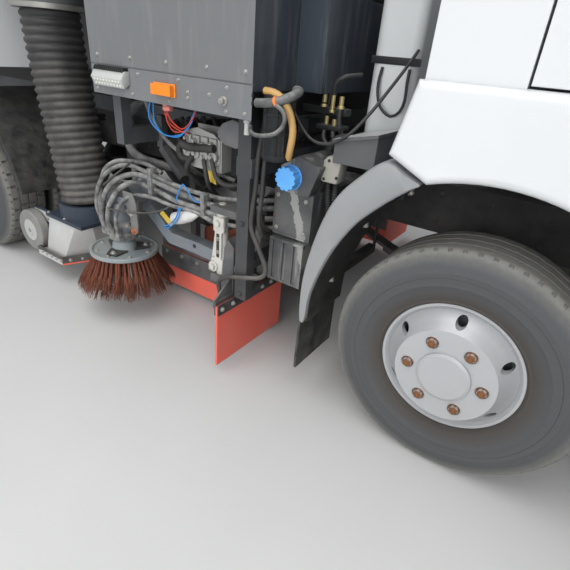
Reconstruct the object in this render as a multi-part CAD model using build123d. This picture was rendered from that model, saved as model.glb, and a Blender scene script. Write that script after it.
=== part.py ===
"""Street sweeper truck: a cab-over truck with side brushes, suction nozzles and a tipping hopper.

Millimetres. +X points forward, +Y to the truck's left, +Z up.
Everything is modelled with X = 0 at the front axle and Z = 0 on the road.
On export it moves along X so that the origin is the bottom centre of the whole truck.
"""
import os
from math import atan2, cos, degrees, hypot, pi, sin, sqrt

from build123d import *

# Truck
wheelbase = 3020
front_overhang = 1300
rear_overhang = 1680
rear_axle_x = -wheelbase
tail_x = rear_axle_x - rear_overhang
rail_outer_y = 430
rail_height = 220
rail_flange = 65
rail_thickness = 8
rail_top_z = 870
rail_front_x = 1080
body_half_width = 1150
moving_gap = 8
running_clearance = 0.3
seat_gap = 0.3

# Wheels and tyres
tyre_radius = 421
tyre_half_width = 129
tread_half_width = 96
tread_groove_width = 9
tread_groove_depth = 10
rim_flange_radius = 235
rim_seat_radius = 222
rim_well_radius = 196
rim_wall = 7
rim_half_width = 98
disc_thickness = 10
disc_proud = 57
twin_disc_proud = 41
disc_face_radius = 165
hub_cap_radius = 87
hub_cap_proud = 70
nut_circle_radius = 122.5
nut_count = 6
nut_radius = 15
nut_proud = 66
nut_recess_radius = 21
nut_recess_depth = 5
hand_hole_radius = 17
hand_hole_circle = 191
hub_radius = 74
spindle_radius = 32
axle_stub_radius = 45
pinion_reach = 265
shaft_radius = 38
front_flange_y = 1050
rear_flange_y = body_half_width

# Front axle and steering
king_pin_y = 800
king_pin_radius = 20
axle_eye_radius = 48
axle_eye_half_height = 48
beam_drop = 80
beam_depth = 95
beam_half_width = 42
yoke_thickness = 42

# Cab
cab_half_width = 1050
cab_wall = 45
cab_back_x = -280
cab_roof_z = 2510
cab_floor_z = 1120
cab_sill_z = 800
cab_nose_x = 1262
cab_corner_radius = 70
belt_z = 1285
arch_radius = 618
fender_proud = 58
door_rear_x = -15
door_front_x = 1005
door_gap = 7
door_hinge_x = 1015
door_hinge_y = 1062
door_pin_radius = 5
door_hinge_heights = (1150, 1560)
glass_thickness = 7
glass_inset = 14
cab_pivot_x = 1180
cab_pin_radius = 16
cab_pivot_z = 755
cab_pivot_boss = 34
cab_tunnel_half_width = 455
cab_tunnel_front_x = 985
wheel_centre = (640, 480, 1690)
wheel_tilt = 55
grille_half_width = 760
grille_low_z = 860
grille_high_z = 1330

# Bumper
bumper_top_z = 712
bumper_bottom_z = 330
bumper_back_x = 560
bumper_wall = 50
bumper_half_width = 1100
tow_eye_x = 1200
tow_eye_y = 200
tow_eye_radius = 17
lamp_centre_y = 830
lamp_half_width = 130
lamp_low_z = 515
lamp_high_z = 665

# Front mudguard, behind the wheel
guard_radius = 545
guard_wall = 12
guard_outer_y = 1100
guard_inner_y = 800
flap_bottom_z = 155
guard_low_z = 385

# Rear end
tail_lamp_y = 900
underrun_top_z = 520
rear_guard_radius = 545

# Tanks behind the front mudguard
tank_front_x = -640
tank_rear_x = -800
tank_inner_y = 520
tank_outer_y = body_half_width - 150
cap_radius = 44
cap_lobes = 12

# Sweeper superstructure
subframe_height = 90
subframe_width = 80
nozzle_front_x = rear_axle_x + 990
brush_x = nozzle_front_x + 345
housing_front_x = -800
housing_rear_x = brush_x + 35
housing_bottom_z = 1100
housing_top_z = 2480
housing_wall = 25
nose_half_width = 900
nose_front_x = housing_front_x + 110
nose_bottom_z = 1190
post_x = housing_front_x - 70
post_y = body_half_width - 80
post_half = 25
marker_x = housing_rear_x + 440
louvres = 9
louvre_pitch = 70
louvre_height = 30

# Hopper
hopper_front_x = housing_rear_x - 140
hopper_step_x = rear_axle_x + 560
hopper_step_z = 1520
hopper_floor_z = 1130
hopper_top_z = 2860
hopper_rear_top_x = tail_x + 220
hopper_rear_bottom_x = tail_x + 100
hopper_wall = 30
hopper_hinge_x = tail_x + 400
hopper_hinge_z = 1010
hopper_pin_radius = 25
hopper_lip = 65
hopper_ribs = 5
hopper_rib_pitch = 500
door_thickness = 45
door_pin_x = tail_x + 178
door_pin_z = hopper_top_z - 55
door_boss_radius = 16
door_lug_y = 800

# Tipping cylinder
ram_base_x = rear_axle_x - 880
ram_base_z = 745
ram_eye_x = rear_axle_x - 240
ram_eye_z = 1070
ram_eye_half = 30
ram_pin_radius = 20
ram_barrel_radius = 55
ram_rod_radius = 32

# Suction hose, nozzle and its wheels
hose_radius = 140
hose_wall = 12
hose_y = body_half_width - 200
hose_foot = (rear_axle_x + 890, 470)
hose_bend = (rear_axle_x + 805, 1080)
hose_top = (rear_axle_x + 785, 1400)
nozzle_base_z = 130
nozzle_outer_y = body_half_width + 20
nozzle_inner_y = 640
nozzle_rear_x = rear_axle_x + 660
lift_ram_x = rear_axle_x + 820
lift_ram_y = 565
lift_rod_radius = 16
lift_rod_top_z = 800
caster_x = rear_axle_x + 573
caster_z = 250
caster_radius = 122
caster_half_width = 28
caster_y = body_half_width - 25
caster_shaft_radius = 12

# Valve block under the housing, right side
valve_middle_x = housing_front_x - 405
valve_back_y = 860

# Channel brush and its arm
brush_y = body_half_width - 95
brush_disc_z = 335
brush_disc_radius = 172
brush_tip_z = 118
brush_tip_radius = 252
pivot_x = post_x - 185
pivot_y = body_half_width - 150
pivot_low_z = 395
pivot_high_z = 690
pivot_pin_radius = 15
lift_x = pivot_x - 25
lift_z = 430
arm_size = 62

# Red flaps
front_flap_x = post_x - 50
flap_outer_y = body_half_width + 30
side_flap_y = body_half_width - 380
side_flap_rear_x = brush_x - 45
flap_stay_in_y = side_flap_y - 64
flap_stay_out_y = side_flap_y - 28
flap_thickness = 10
flap_ground_gap = 35

# Wide brush under the frame
wide_pivot_x = post_x - 90
wide_brush_x = wide_pivot_x - 380
wide_brush_z = 345
wide_brush_radius = 175
wide_brush_half_length = side_flap_y - 130
wide_tube_radius = 26
wide_pivot_z = 545

caster_plate_y = caster_y - caster_half_width - moving_gap - 16
rail_bottom_z = rail_top_z - rail_height
subframe_top_z = rail_top_z + subframe_height
rail_rear_x = hopper_hinge_x - 120
front_wheel_y = front_flange_y - rim_half_width
rear_outer_y = rear_flange_y - rim_half_width
rear_inner_y = rear_outer_y - 2 * (rim_half_width + twin_disc_proud)
twin_middle_y = (rear_outer_y + rear_inner_y) / 2
row_shift_x = (front_overhang + wheelbase + rear_overhang) / 2 - front_overhang


def block(x0, x1, y0, y1, z0, z1):
    """A box between two corners."""
    size = Box(abs(x1 - x0), abs(y1 - y0), abs(z1 - z0))
    return Pos((x0 + x1) / 2, (y0 + y1) / 2, (z0 + z1) / 2) * size


def side_plate(points, y0, y1):
    """Points (x, z) seen from the side, extruded from y0 to y1."""
    face = make_face(Polyline(*points, close=True))
    return side_extrude(face, y0, y1)


def side_extrude(face, y0, y1):
    """A face drawn in (x, z), extruded from y0 to y1."""
    top = max(y0, y1)
    return extrude(Plane.XZ.offset(-top) * face, amount=abs(y1 - y0))


def plan_plate(points, z0, z1):
    """Points (x, y) seen from above, extruded from z0 to z1."""
    face = make_face(Polyline(*points, close=True))
    return Pos(0, 0, z0) * extrude(face, amount=z1 - z0)


def front_plate(points, x0, x1):
    """Points (y, z) seen from the front, extruded from x0 to x1."""
    face = make_face(Polyline(*points, close=True))
    return extrude(Plane.YZ.offset(x0) * face, amount=x1 - x0)


def rod_y(x, z, radius, y0, y1):
    """A round bar across the truck."""
    return Pos(x, (y0 + y1) / 2, z) * Rot(90, 0, 0) * Cylinder(radius, abs(y1 - y0))


def rod_z(x, y, radius, z0, z1):
    """An upright round bar."""
    return Pos(x, y, (z0 + z1) / 2) * Cylinder(radius, abs(z1 - z0))


def rod_x(y, z, radius, x0, x1):
    """A round bar along the truck."""
    return Pos((x0 + x1) / 2, y, z) * Rot(0, 90, 0) * Cylinder(radius, abs(x1 - x0))


def bar_side(start, end, y, width, height):
    """A square bar in a side plane, from (x, z) to (x, z), centred on y."""
    run = hypot(end[0] - start[0], end[1] - start[1])
    tilt = degrees(atan2(end[1] - start[1], end[0] - start[0]))
    middle = ((start[0] + end[0]) / 2, (start[1] + end[1]) / 2)
    return Pos(middle[0], y, middle[1]) * Rot(0, -tilt, 0) * Box(run, width, height)


def turned_y(points, x, y, z):
    """Points (radius, y) revolved about a wheel's axis."""
    face = make_face(Polyline(*points, close=True))
    return Pos(x, y, z) * revolve(face, Axis.Y)


def turned_z(points, x, y):
    """Points (radius, z) revolved about an upright axis."""
    face = Plane.XZ * make_face(Polyline(*points, close=True))
    return Pos(x, y, 0) * revolve(face, Axis.Z)


def drawn_in(points, inset):
    """The corners of an outline moved in by an inset, each side kept parallel."""
    count = len(points)
    area = sum(points[i - 1][0] * points[i][1] - points[i][0] * points[i - 1][1] for i in range(count))
    turn = 1 if area > 0 else -1
    lines = []
    for start, end in zip(points, points[1:] + points[:1]):
        run = hypot(end[0] - start[0], end[1] - start[1])
        along = ((end[0] - start[0]) / run, (end[1] - start[1]) / run)
        inward = (-along[1] * turn, along[0] * turn)
        lines.append(((start[0] + inward[0] * inset, start[1] + inward[1] * inset), along))
    corners = []
    for before, after in zip(lines[-1:] + lines[:-1], lines):
        (ax, ay), (ux, uy) = before
        (bx, by), (vx, vy) = after
        reach = ((bx - ax) * vy - (by - ay) * vx) / (ux * vy - uy * vx)
        corners.append((ax + ux * reach, ay + uy * reach))
    return corners


def other_side(shape):
    """The same piece on the truck's other side."""
    return mirror(shape, about=Plane.XZ)


def joined(pieces):
    """Separate solids kept in one node."""
    return Compound([solid for piece in pieces for solid in piece.solids()])


def both_sides(shape):
    """A piece on the right and its mirror image on the left."""
    return joined([shape, other_side(shape)])


# Wheels
def tyre(x, y):
    """Ribbed tyre, solid down to the rim's seat."""
    crown = tyre_radius
    groove = crown - tread_groove_depth
    half = tread_groove_width / 2
    seat = rim_seat_radius + seat_gap
    bead = rim_flange_radius + seat_gap
    edge = rim_half_width
    points = [(seat, -edge + 15), (bead, -edge + 10), (bead, -edge - 2), (260, -tyre_half_width + 16)]
    points += [(325, -tyre_half_width), (385, -tyre_half_width + 8), (crown - 9, -tread_half_width - 12)]
    points += [(crown, -tread_half_width)]
    for centre in (-52, 0, 52):
        points += [(crown, centre - half), (groove, centre - half)]
        points += [(groove, centre + half), (crown, centre + half)]
    points += [(crown, tread_half_width), (crown - 9, tread_half_width + 12)]
    points += [(385, tyre_half_width - 8), (325, tyre_half_width), (260, tyre_half_width - 16)]
    points += [(bead, edge + 2), (bead, edge - 10), (seat, edge - 15)]
    return turned_y(points, x, y, tyre_radius)


def rim(proud, capped):
    """One disc wheel about the origin, its disc proud of the flange on the +Y side."""
    edge = rim_half_width
    seat = rim_seat_radius
    well = rim_well_radius
    flange = rim_flange_radius - seat_gap
    wall = rim_wall
    barrel = [(flange, -edge), (flange, -edge + 9), (seat, -edge + 14), (seat, -edge + 40)]
    barrel += [(well, -edge + 62), (well, edge - 62), (seat, edge - 40), (seat, edge - 14)]
    barrel += [(flange, edge - 9), (flange, edge), (flange - 10, edge), (seat - wall, edge - 12)]
    barrel += [(seat - wall, edge - 42), (well - wall, edge - 66), (well - wall, -edge + 66)]
    barrel += [(seat - wall, -edge + 42), (seat - wall, -edge + 12), (flange - 10, -edge)]
    face = edge + proud
    back = face - disc_thickness
    root = seat - wall + 2
    fold = hand_hole_circle - hand_hole_radius - 5
    disc = [(hub_radius - 20, back), (fold - 10, back), (fold, edge + 22)]
    disc += [(root - 8, edge - 34), (root, edge - 34), (root, edge - 16), (well - 10, edge + 26)]
    disc += [(disc_face_radius, face), (hub_radius - 20, face)]
    wheel = turned_y(barrel, 0, 0, 0) + turned_y(disc, 0, 0, 0)
    if capped:
        cap_top = edge + hub_cap_proud
        cap = [(0, back + 3), (hub_cap_radius, back + 3), (hub_cap_radius, cap_top - 5)]
        cap += [(hub_cap_radius - 10, cap_top), (0, cap_top)]
        wheel += turned_y(cap, 0, 0, 0)
    for turn in range(nut_count):
        angle = 2 * pi * turn / nut_count
        x = nut_circle_radius * cos(angle)
        z = nut_circle_radius * sin(angle)
        if capped:
            wheel -= rod_y(x, z, nut_recess_radius, face - nut_recess_depth, face + 5)
            wheel += rod_y(x, z, nut_radius, face - nut_recess_depth, edge + nut_proud)
        half_turn = angle + pi / nut_count
        hole_x = hand_hole_circle * cos(half_turn)
        hole_z = hand_hole_circle * sin(half_turn)
        wheel -= rod_y(hole_x, hole_z, hand_hole_radius, edge - 38, face + 20)
    return wheel


def front_hub():
    """The hub barrel behind the disc, with the bore that runs on the spindle."""
    disc_back = front_flange_y + disc_proud - disc_thickness
    inner = front_wheel_y - 20
    hub = rod_y(0, 0, hub_radius, inner, disc_back + 2)
    hub -= rod_y(0, 0, spindle_radius + running_clearance, inner - 5, disc_back - 30)
    brake = rod_y(0, 0, 178, inner + 12, inner + 42) - rod_y(0, 0, hub_radius - 4, inner, inner + 60)
    return Pos(0, 0, tyre_radius) * (hub + brake)


def front_rim():
    """Left front wheel with its disc outward, fused with the hub and brake disc."""
    return Pos(0, front_wheel_y, tyre_radius) * rim(disc_proud, True) + front_hub()


def rear_rims():
    """Left twin wheels back to back on one hub with its drum."""
    inner = Pos(0, rear_inner_y, 0) * rim(twin_disc_proud, False)
    outer = Pos(0, rear_outer_y, 0) * other_side(rim(twin_disc_proud, False))
    hub_start = rear_inner_y - 70
    hub_end = twin_middle_y + 120
    hub = rod_y(0, 0, hub_radius, hub_start, hub_end)
    hub += rod_y(0, 0, hub_radius - 22, hub_end - 5, hub_end + 22)
    for turn in range(nut_count):
        angle = 2 * pi * turn / nut_count
        x = nut_circle_radius * cos(angle)
        z = nut_circle_radius * sin(angle)
        hub += rod_y(x, z, nut_radius, twin_middle_y + disc_thickness - 2, twin_middle_y + disc_thickness + 30)
    drum = rod_y(0, 0, 165, hub_start, rear_inner_y + 60) - rod_y(0, 0, 150, hub_start - 5, rear_inner_y + 48)
    drum += rod_y(0, 0, 100, rear_inner_y + 40, rear_inner_y + 60)
    whole = inner + outer + hub + drum
    whole -= rod_y(0, 0, axle_stub_radius + running_clearance, hub_start - 5, twin_middle_y + 60)
    return Pos(rear_axle_x, 0, tyre_radius) * whole


# Axles, springs and steering
def leaf_pack(x, y, seat_z, half_length, rise, leaves):
    """A pack of curved leaves whose lowest point is seat_z."""
    radius = (half_length ** 2 + rise ** 2) / (2 * rise)
    leaf = 14
    centre_z = seat_z + leaves * leaf + radius
    pack = None
    for row in range(leaves):
        reach = half_length * (1 - 0.24 * row)
        ring = rod_y(x, centre_z, radius + leaf * (row + 1), y - 35, y + 35) - rod_y(
            x, centre_z, radius + leaf * row, y - 40, y + 40)
        strip = ring & block(x - reach, x + reach, y - 36, y + 36, seat_z - 5, seat_z + 400)
        pack = strip if pack is None else pack + strip
    return pack


def spring_side(x, y, axle_top_z, half_length, leaves):
    """Leaf pack with its clamp on the axle and its two hangers under the rail."""
    seat_z = axle_top_z
    rise = rail_bottom_z - 60 - seat_z - leaves * 14
    spring = leaf_pack(x, y, seat_z, half_length, rise, leaves)
    clamp = block(x - 55, x + 55, y - 42, y + 42, seat_z, seat_z + leaves * 14 + 18)
    result = spring + clamp
    for end in (-1, 1):
        eye_x = x + end * (half_length - 22)
        result += block(eye_x - 26, eye_x + 26, y - 40, y + 40, seat_z + leaves * 14 + rise - 40, rail_bottom_z)
    return result


def front_beam():
    """Dropped forged beam with an eye for each king pin."""
    top = tyre_radius + axle_eye_half_height
    low = tyre_radius - axle_eye_half_height
    inner = rail_outer_y
    reach = king_pin_y - axle_eye_radius + 12
    profile = [(-reach, top - 4), (-inner, top - beam_drop), (inner, top - beam_drop), (reach, top - 4)]
    profile += [(reach, low + 4), (inner, top - beam_drop - beam_depth)]
    profile += [(-inner, top - beam_drop - beam_depth), (-reach, low + 4)]
    beam = front_plate(profile, -beam_half_width, beam_half_width)
    cut_top = top - beam_drop - 22
    cut_low = top - beam_drop - beam_depth + 22
    web_cut = [(-inner + 20, cut_top), (inner - 20, cut_top), (inner - 20, cut_low), (-inner + 20, cut_low)]
    for face in (-1, 1):
        x0 = face * beam_half_width
        x1 = face * 14
        beam -= front_plate(web_cut, min(x0, x1), max(x0, x1))
    for side in (-1, 1):
        beam += rod_z(0, side * king_pin_y, axle_eye_radius, low, top)
    for side in (-1, 1):
        beam -= rod_z(0, side * king_pin_y, king_pin_radius + running_clearance, low - 5, top + 5)
    return beam


def rear_housing():
    """Banjo housing with its tubes and stub ends."""
    tube = rod_y(rear_axle_x, tyre_radius, 68, -(rear_inner_y - 90), rear_inner_y - 90)
    ball = Pos(rear_axle_x, 0, tyre_radius) * Sphere(185)
    nose = rod_x(0, tyre_radius, 95, rear_axle_x, rear_axle_x + pinion_reach)
    hub_end = twin_middle_y + 50
    stub = rod_y(rear_axle_x, tyre_radius, axle_stub_radius, -hub_end, hub_end)
    return tube + ball + nose + stub


def make_axles():
    """Both axles, each fused with its leaf springs."""
    front_top = tyre_radius + axle_eye_half_height - beam_drop
    spring_y = rail_outer_y - 36
    front = front_beam()
    rear = rear_housing()
    for side in (-1, 1):
        front += spring_side(0, side * spring_y, front_top, 690, 3)
        rear += spring_side(rear_axle_x, side * spring_y, tyre_radius + 60, 700, 4)
    return joined([front, rear])


def make_knuckle():
    """Left knuckle: yoke, king pin, spindle and steering arm."""
    eye_top = tyre_radius + axle_eye_half_height
    eye_low = tyre_radius - axle_eye_half_height
    gap = seat_gap
    upper = rod_z(0, king_pin_y, axle_eye_radius - 2, eye_top + gap, eye_top + gap + yoke_thickness)
    lower = rod_z(0, king_pin_y, axle_eye_radius - 2, eye_low - gap - yoke_thickness, eye_low - gap)
    pin = rod_z(0, king_pin_y, king_pin_radius, eye_low - gap - 6, eye_top + gap + 6)
    web_y = king_pin_y + axle_eye_radius + 10
    web = block(-40, 40, web_y, web_y + 34, eye_low - gap - yoke_thickness, eye_top + gap + yoke_thickness)
    lugs = block(-40, 40, king_pin_y, web_y + 5, eye_top + gap, eye_top + gap + yoke_thickness)
    lugs += block(-40, 40, king_pin_y, web_y + 5, eye_low - gap - yoke_thickness, eye_low - gap)
    spindle_end = front_flange_y + disc_proud - disc_thickness - 36
    spindle = rod_y(0, tyre_radius, spindle_radius, web_y + 20, spindle_end)
    arm = block(-210, 0, king_pin_y - 34, king_pin_y + 8, eye_low - gap - yoke_thickness, eye_low - gap - 12)
    return upper + lower + pin + web + lugs + spindle + arm


# Chassis frame and drive line
def make_frame_rails():
    """Two channel rails with cab pivot brackets, and the cross members bolted between them."""
    left = block(rail_rear_x, rail_front_x, rail_outer_y - rail_flange, rail_outer_y,
                 rail_bottom_z, rail_top_z)
    left -= block(rail_rear_x - 5, rail_front_x + 5, rail_outer_y - rail_flange - 5,
                  rail_outer_y - rail_thickness, rail_bottom_z + rail_thickness, rail_top_z - rail_thickness)
    left += block(rail_front_x - 60, cab_pivot_x, rail_outer_y - rail_thickness, rail_outer_y + 12,
                  cab_pivot_z - 25, cab_pivot_z + 25)
    left += rod_y(cab_pivot_x, cab_pivot_z, cab_pivot_boss, rail_outer_y - rail_thickness, rail_outer_y + 12)
    left += rod_y(cab_pivot_x, cab_pivot_z, cab_pin_radius, rail_outer_y, rail_outer_y + 58)
    members = [cross_member(x) for x in (housing_front_x + 380, housing_rear_x + 150, rear_axle_x + 690,
                                         rail_rear_x + 30)]
    front = cross_member(rail_front_x - 40) + towing_lug()
    return joined([left, other_side(left), front, ram_member(), *members])


def cross_member(x):
    """A pressed channel across the truck, seated between the webs of the two rails."""
    reach = rail_outer_y - rail_thickness - seat_gap
    low = rail_top_z - 110
    high = rail_top_z - 30
    member = block(x - 30, x + 30, -reach, reach, low, high)
    return member - block(x - 24, x + 31, -reach - 1, reach + 1, low + rail_thickness, high - rail_thickness)


def towing_lug():
    """Lug under the first cross member with the upright hole for the towing pin."""
    lug_z = rail_bottom_z - 40
    back = rail_front_x - 60
    lug = block(back, back + 40, tow_eye_y - 35, tow_eye_y + 35, lug_z - 25, rail_top_z - 100)
    lug += block(back, tow_eye_x + 42, tow_eye_y - 35, tow_eye_y + 35, lug_z - 25, lug_z + 25)
    return lug - rod_z(tow_eye_x, tow_eye_y, tow_eye_radius, lug_z - 60, lug_z + 80)


def ram_member():
    """The cross member with two ears and the pin that carries the tipping cylinder."""
    member = cross_member(ram_base_x - 85)
    for ear in (-1, 1):
        y0 = ear * (ram_eye_half + 3)
        y1 = ear * (ram_eye_half + 23)
        member += block(ram_base_x - 80, ram_base_x + 30, min(y0, y1), max(y0, y1), ram_base_z - 35,
                        rail_top_z - 80)
    return member + rod_y(ram_base_x, ram_base_z, ram_pin_radius, -ram_eye_half - 8, ram_eye_half + 8)


def make_engine_gearbox():
    """Truck engine as a plain block with its gearbox, and the propshaft behind it."""
    gearbox_z = rail_top_z - 180
    gearbox_rear_x = -360
    engine_rear_x = 120
    engine = block(engine_rear_x, rail_front_x - 180, -290, 290, rail_bottom_z - 90, rail_top_z + 170)
    gearbox = rod_x(0, gearbox_z, 160, gearbox_rear_x, engine_rear_x + 1)
    pinion_x = rear_axle_x + pinion_reach
    drop = gearbox_z - tyre_radius
    run = gearbox_rear_x - pinion_x
    tilt = degrees(atan2(drop, run))
    middle = Pos((gearbox_rear_x + pinion_x) / 2, 0, (gearbox_z + tyre_radius) / 2)
    shaft = middle * Rot(0, 90 - tilt, 0) * Cylinder(shaft_radius, hypot(run, drop) - 10)
    shaft -= block(gearbox_rear_x - 2, gearbox_rear_x + 100, -100, 100, 0, rail_top_z)
    shaft += rod_x(0, gearbox_z, 48, gearbox_rear_x - 20, gearbox_rear_x - seat_gap)
    return joined([engine + gearbox, shaft])


# Front end
def make_front_bumper():
    """Wrap-round bumper with steps and an arch behind each corner."""
    outer = block(bumper_back_x, front_overhang, -bumper_half_width, bumper_half_width,
                  bumper_bottom_z, bumper_top_z)
    corners = outer.edges().filter_by(Axis.Z).group_by(Axis.X)[-1]
    outer = fillet(corners, 130)
    inner = block(bumper_back_x - 5, front_overhang - bumper_wall, -bumper_half_width + bumper_wall,
                  bumper_half_width - bumper_wall, bumper_bottom_z - 5, bumper_top_z - bumper_wall)
    inner += block(bumper_back_x - 5, cab_pivot_x - 80, -bumper_half_width + bumper_wall,
                   bumper_half_width - bumper_wall, bumper_bottom_z, bumper_top_z + 5)
    shell = outer - inner
    shell -= rod_y(0, tyre_radius, arch_radius, -bumper_half_width - 5, bumper_half_width + 5)
    for side in (-1, 1):
        y0 = side * (bumper_half_width - 28)
        y1 = side * (bumper_half_width + 10)
        shell -= block(680, 980, min(y0, y1), max(y0, y1), 470, 620)
        lamp_in = side * (lamp_centre_y - lamp_half_width)
        lamp_out = side * (lamp_centre_y + lamp_half_width)
        shell -= block(front_overhang - bumper_wall - 5, front_overhang + 5, min(lamp_in, lamp_out),
                       max(lamp_in, lamp_out), lamp_low_z, lamp_high_z)
    shell -= block(front_overhang - 100, front_overhang + 5, -450, 450, 380, 440)
    shell -= block(front_overhang - 100, front_overhang + 5, tow_eye_y - 60, tow_eye_y + 60, 560, 680)
    brace_z = rail_bottom_z - 110
    brace = block(rail_front_x - 160, front_overhang - bumper_wall + 5, 360, 425, brace_z, rail_bottom_z - 25)
    brace += block(rail_front_x - 160, rail_front_x, 370, 425, brace_z, rail_bottom_z)
    return shell + both_sides(brace)


def make_lamps():
    """Headlamps, side marker lamps, work lamps and tail lamps."""
    pieces = []
    for side in (-1, 1):
        y0 = side * (lamp_centre_y - lamp_half_width + seat_gap)
        y1 = side * (lamp_centre_y + lamp_half_width - seat_gap)
        head = block(front_overhang - bumper_wall, front_overhang - 6, min(y0, y1), max(y0, y1),
                     lamp_low_z + seat_gap, lamp_high_z - seat_gap)
        pieces.append(head)
        marker_y0 = side * (body_half_width + seat_gap)
        marker_y1 = side * (body_half_width + 26)
        marker = block(marker_x - 52, marker_x + 52, min(marker_y0, marker_y1), max(marker_y0, marker_y1),
                       housing_bottom_z + 35, housing_bottom_z + 72)
        pieces.append(marker)
        tail_y0 = side * (tail_lamp_y - 150)
        tail_y1 = side * (tail_lamp_y + 150)
        tail = block(tail_x + 4, tail_x + 64, min(tail_y0, tail_y1), max(tail_y0, tail_y1),
                     underrun_top_z + 40 + seat_gap, underrun_top_z + 160)
        pieces.append(tail)
    return joined(pieces)


def make_underrun_bar():
    """Rear bar under the hopper on two drop brackets, with lamp shelves."""
    beam = block(tail_x, tail_x + 100, -1120, 1120, underrun_top_z - 100, underrun_top_z)
    beam -= block(tail_x + 6, tail_x + 94, -1130, 1130, underrun_top_z - 94, underrun_top_z - 6)
    for side in (-1, 1):
        outer = side * (rail_outer_y + 12)
        inner = side * rail_outer_y
        profile = [(rail_rear_x + 20, rail_bottom_z + 20), (rail_rear_x + 260, rail_bottom_z + 20)]
        profile += [(rail_rear_x + 260, rail_bottom_z + 180), (rail_rear_x + 20, rail_bottom_z + 180)]
        profile += [(tail_x + 30, underrun_top_z + 60), (tail_x + 20, underrun_top_z - 90)]
        profile += [(tail_x + 120, underrun_top_z - 90)]
        beam += side_plate(profile, min(inner, outer), max(inner, outer))
        shelf0 = side * (tail_lamp_y - 160)
        shelf1 = side * (tail_lamp_y + 160)
        shelf = block(tail_x + 4, tail_x + 90, min(shelf0, shelf1), max(shelf0, shelf1),
                      underrun_top_z + 34, underrun_top_z + 40)
        leg = block(tail_x + 60, tail_x + 90, min(shelf0, shelf1) + 40, max(shelf0, shelf1) - 40,
                    underrun_top_z - 4, underrun_top_z + 36)
        beam += shelf + leg
    return beam


# Cab
cab_outline = [
    (cab_back_x, cab_floor_z), (cab_back_x, cab_roof_z - 70), (cab_back_x + 90, cab_roof_z - 10),
    (650, cab_roof_z), (800, cab_roof_z - 60), (1085, 1650), (1225, 1390), (cab_nose_x, 1000),
    (cab_nose_x - 8, cab_sill_z), (650, cab_sill_z), (530, cab_floor_z)]


def cab_layer(inset):
    """The cab's outer form, drawn in by an inset."""
    half = cab_half_width - inset
    return side_plate(drawn_in(cab_outline, inset), -half, half)


door_outline = [
    (door_rear_x, belt_z), (door_rear_x, cab_roof_z - 180), (60, cab_roof_z - 125), (700, cab_roof_z - 115),
    (770, cab_roof_z - 160),
    (1000, 1660), (door_front_x, 905), (610, 905), (475, belt_z)]
door_window = [
    (50, 1640), (50, cab_roof_z - 260), (100, cab_roof_z - 210), (660, cab_roof_z - 200),
    (700, cab_roof_z - 230), (900, 1700), (880, 1610), (90, 1600)]


def cab_prism(points, grow, side, depth=0):
    """A side outline cut through one side wall, and a little deeper if asked."""
    y0 = side * (cab_half_width - cab_wall - depth)
    y1 = side * (cab_half_width + 100)
    return side_plate(drawn_in(points, -grow), y0, y1)


def front_window():
    """The windscreen's opening, cut forward through the raked front."""
    top = cab_roof_z - 140
    points = [(-900, 1700), (-930, 1720), (-800, top), (800, top), (930, 1720), (900, 1700)]
    return front_plate(points, 700, 1300)


def back_window():
    """The window in the cab's back wall."""
    top = cab_roof_z - 260
    points = [(-620, 1750), (-620, top), (620, top), (620, 1750)]
    return front_plate(points, cab_back_x - 50, cab_back_x + cab_wall + 10)


def make_cab_shell():
    """Hollow cab with its roof, pillars, floor and back wall."""
    outer = cab_layer(0)
    roof_edges = [edge for edge in outer.edges() if edge.center().Z > cab_roof_z - 90
                  and abs(edge.center().Y) > cab_half_width - 1]
    outer = fillet(roof_edges, cab_corner_radius)
    shell = outer - cab_layer(cab_wall)
    for side in (-1, 1):
        shell -= cab_prism(door_outline, door_gap, side, moving_gap)
    shell -= front_window()
    shell -= back_window()
    shell -= block(cab_nose_x - 30, cab_nose_x + 20, -grille_half_width, grille_half_width,
                   grille_low_z, grille_high_z)
    shell = add_tunnel(shell)
    for side in (-1, 1):
        for z in door_hinge_heights:
            shell += door_hinge_leaf(side, z + 30 + seat_gap, 30)
            shell += rod_z(door_hinge_x, side * door_hinge_y, door_pin_radius, z - 4, z + 40)
        ear = side * (rail_outer_y + 38)
        lug = block(cab_pivot_x - 30, cab_pivot_x + 30, ear - 10, ear + 10, cab_pivot_z, cab_sill_z + 5)
        lug += rod_y(cab_pivot_x, cab_pivot_z, 30, ear - 10, ear + 10)
        shell += lug - rod_y(cab_pivot_x, cab_pivot_z, cab_pin_radius + running_clearance, ear - 20, ear + 20)
    return shell


def add_tunnel(shell):
    """The raised floor over the engine, with a low nose over the frame rails."""
    wall = 22
    half = cab_tunnel_half_width
    tall = (500, cab_tunnel_front_x, cab_floor_z)
    low = (500, rail_front_x + 45, rail_top_z + 45)
    cover = None
    room = None
    for rear, front, top in (tall, low):
        skin = block(rear, front + wall, -half - wall, half + wall, cab_sill_z, top + wall)
        space = block(rear - 5, front, -half, half, cab_sill_z - 5, top)
        cover = skin if cover is None else cover + skin
        room = space if room is None else room + space
    shell += cover & cab_layer(0)
    return shell - (room & block(430, 2000, -half, half, cab_sill_z - 10, cab_floor_z))


def make_cab_glass():
    """Windscreen and back window, set in the wall's thickness."""
    sheet = cab_layer(glass_inset) - cab_layer(glass_inset + glass_thickness)
    screen = sheet & front_window()
    back = sheet & back_window()
    return joined([screen, back])


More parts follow.
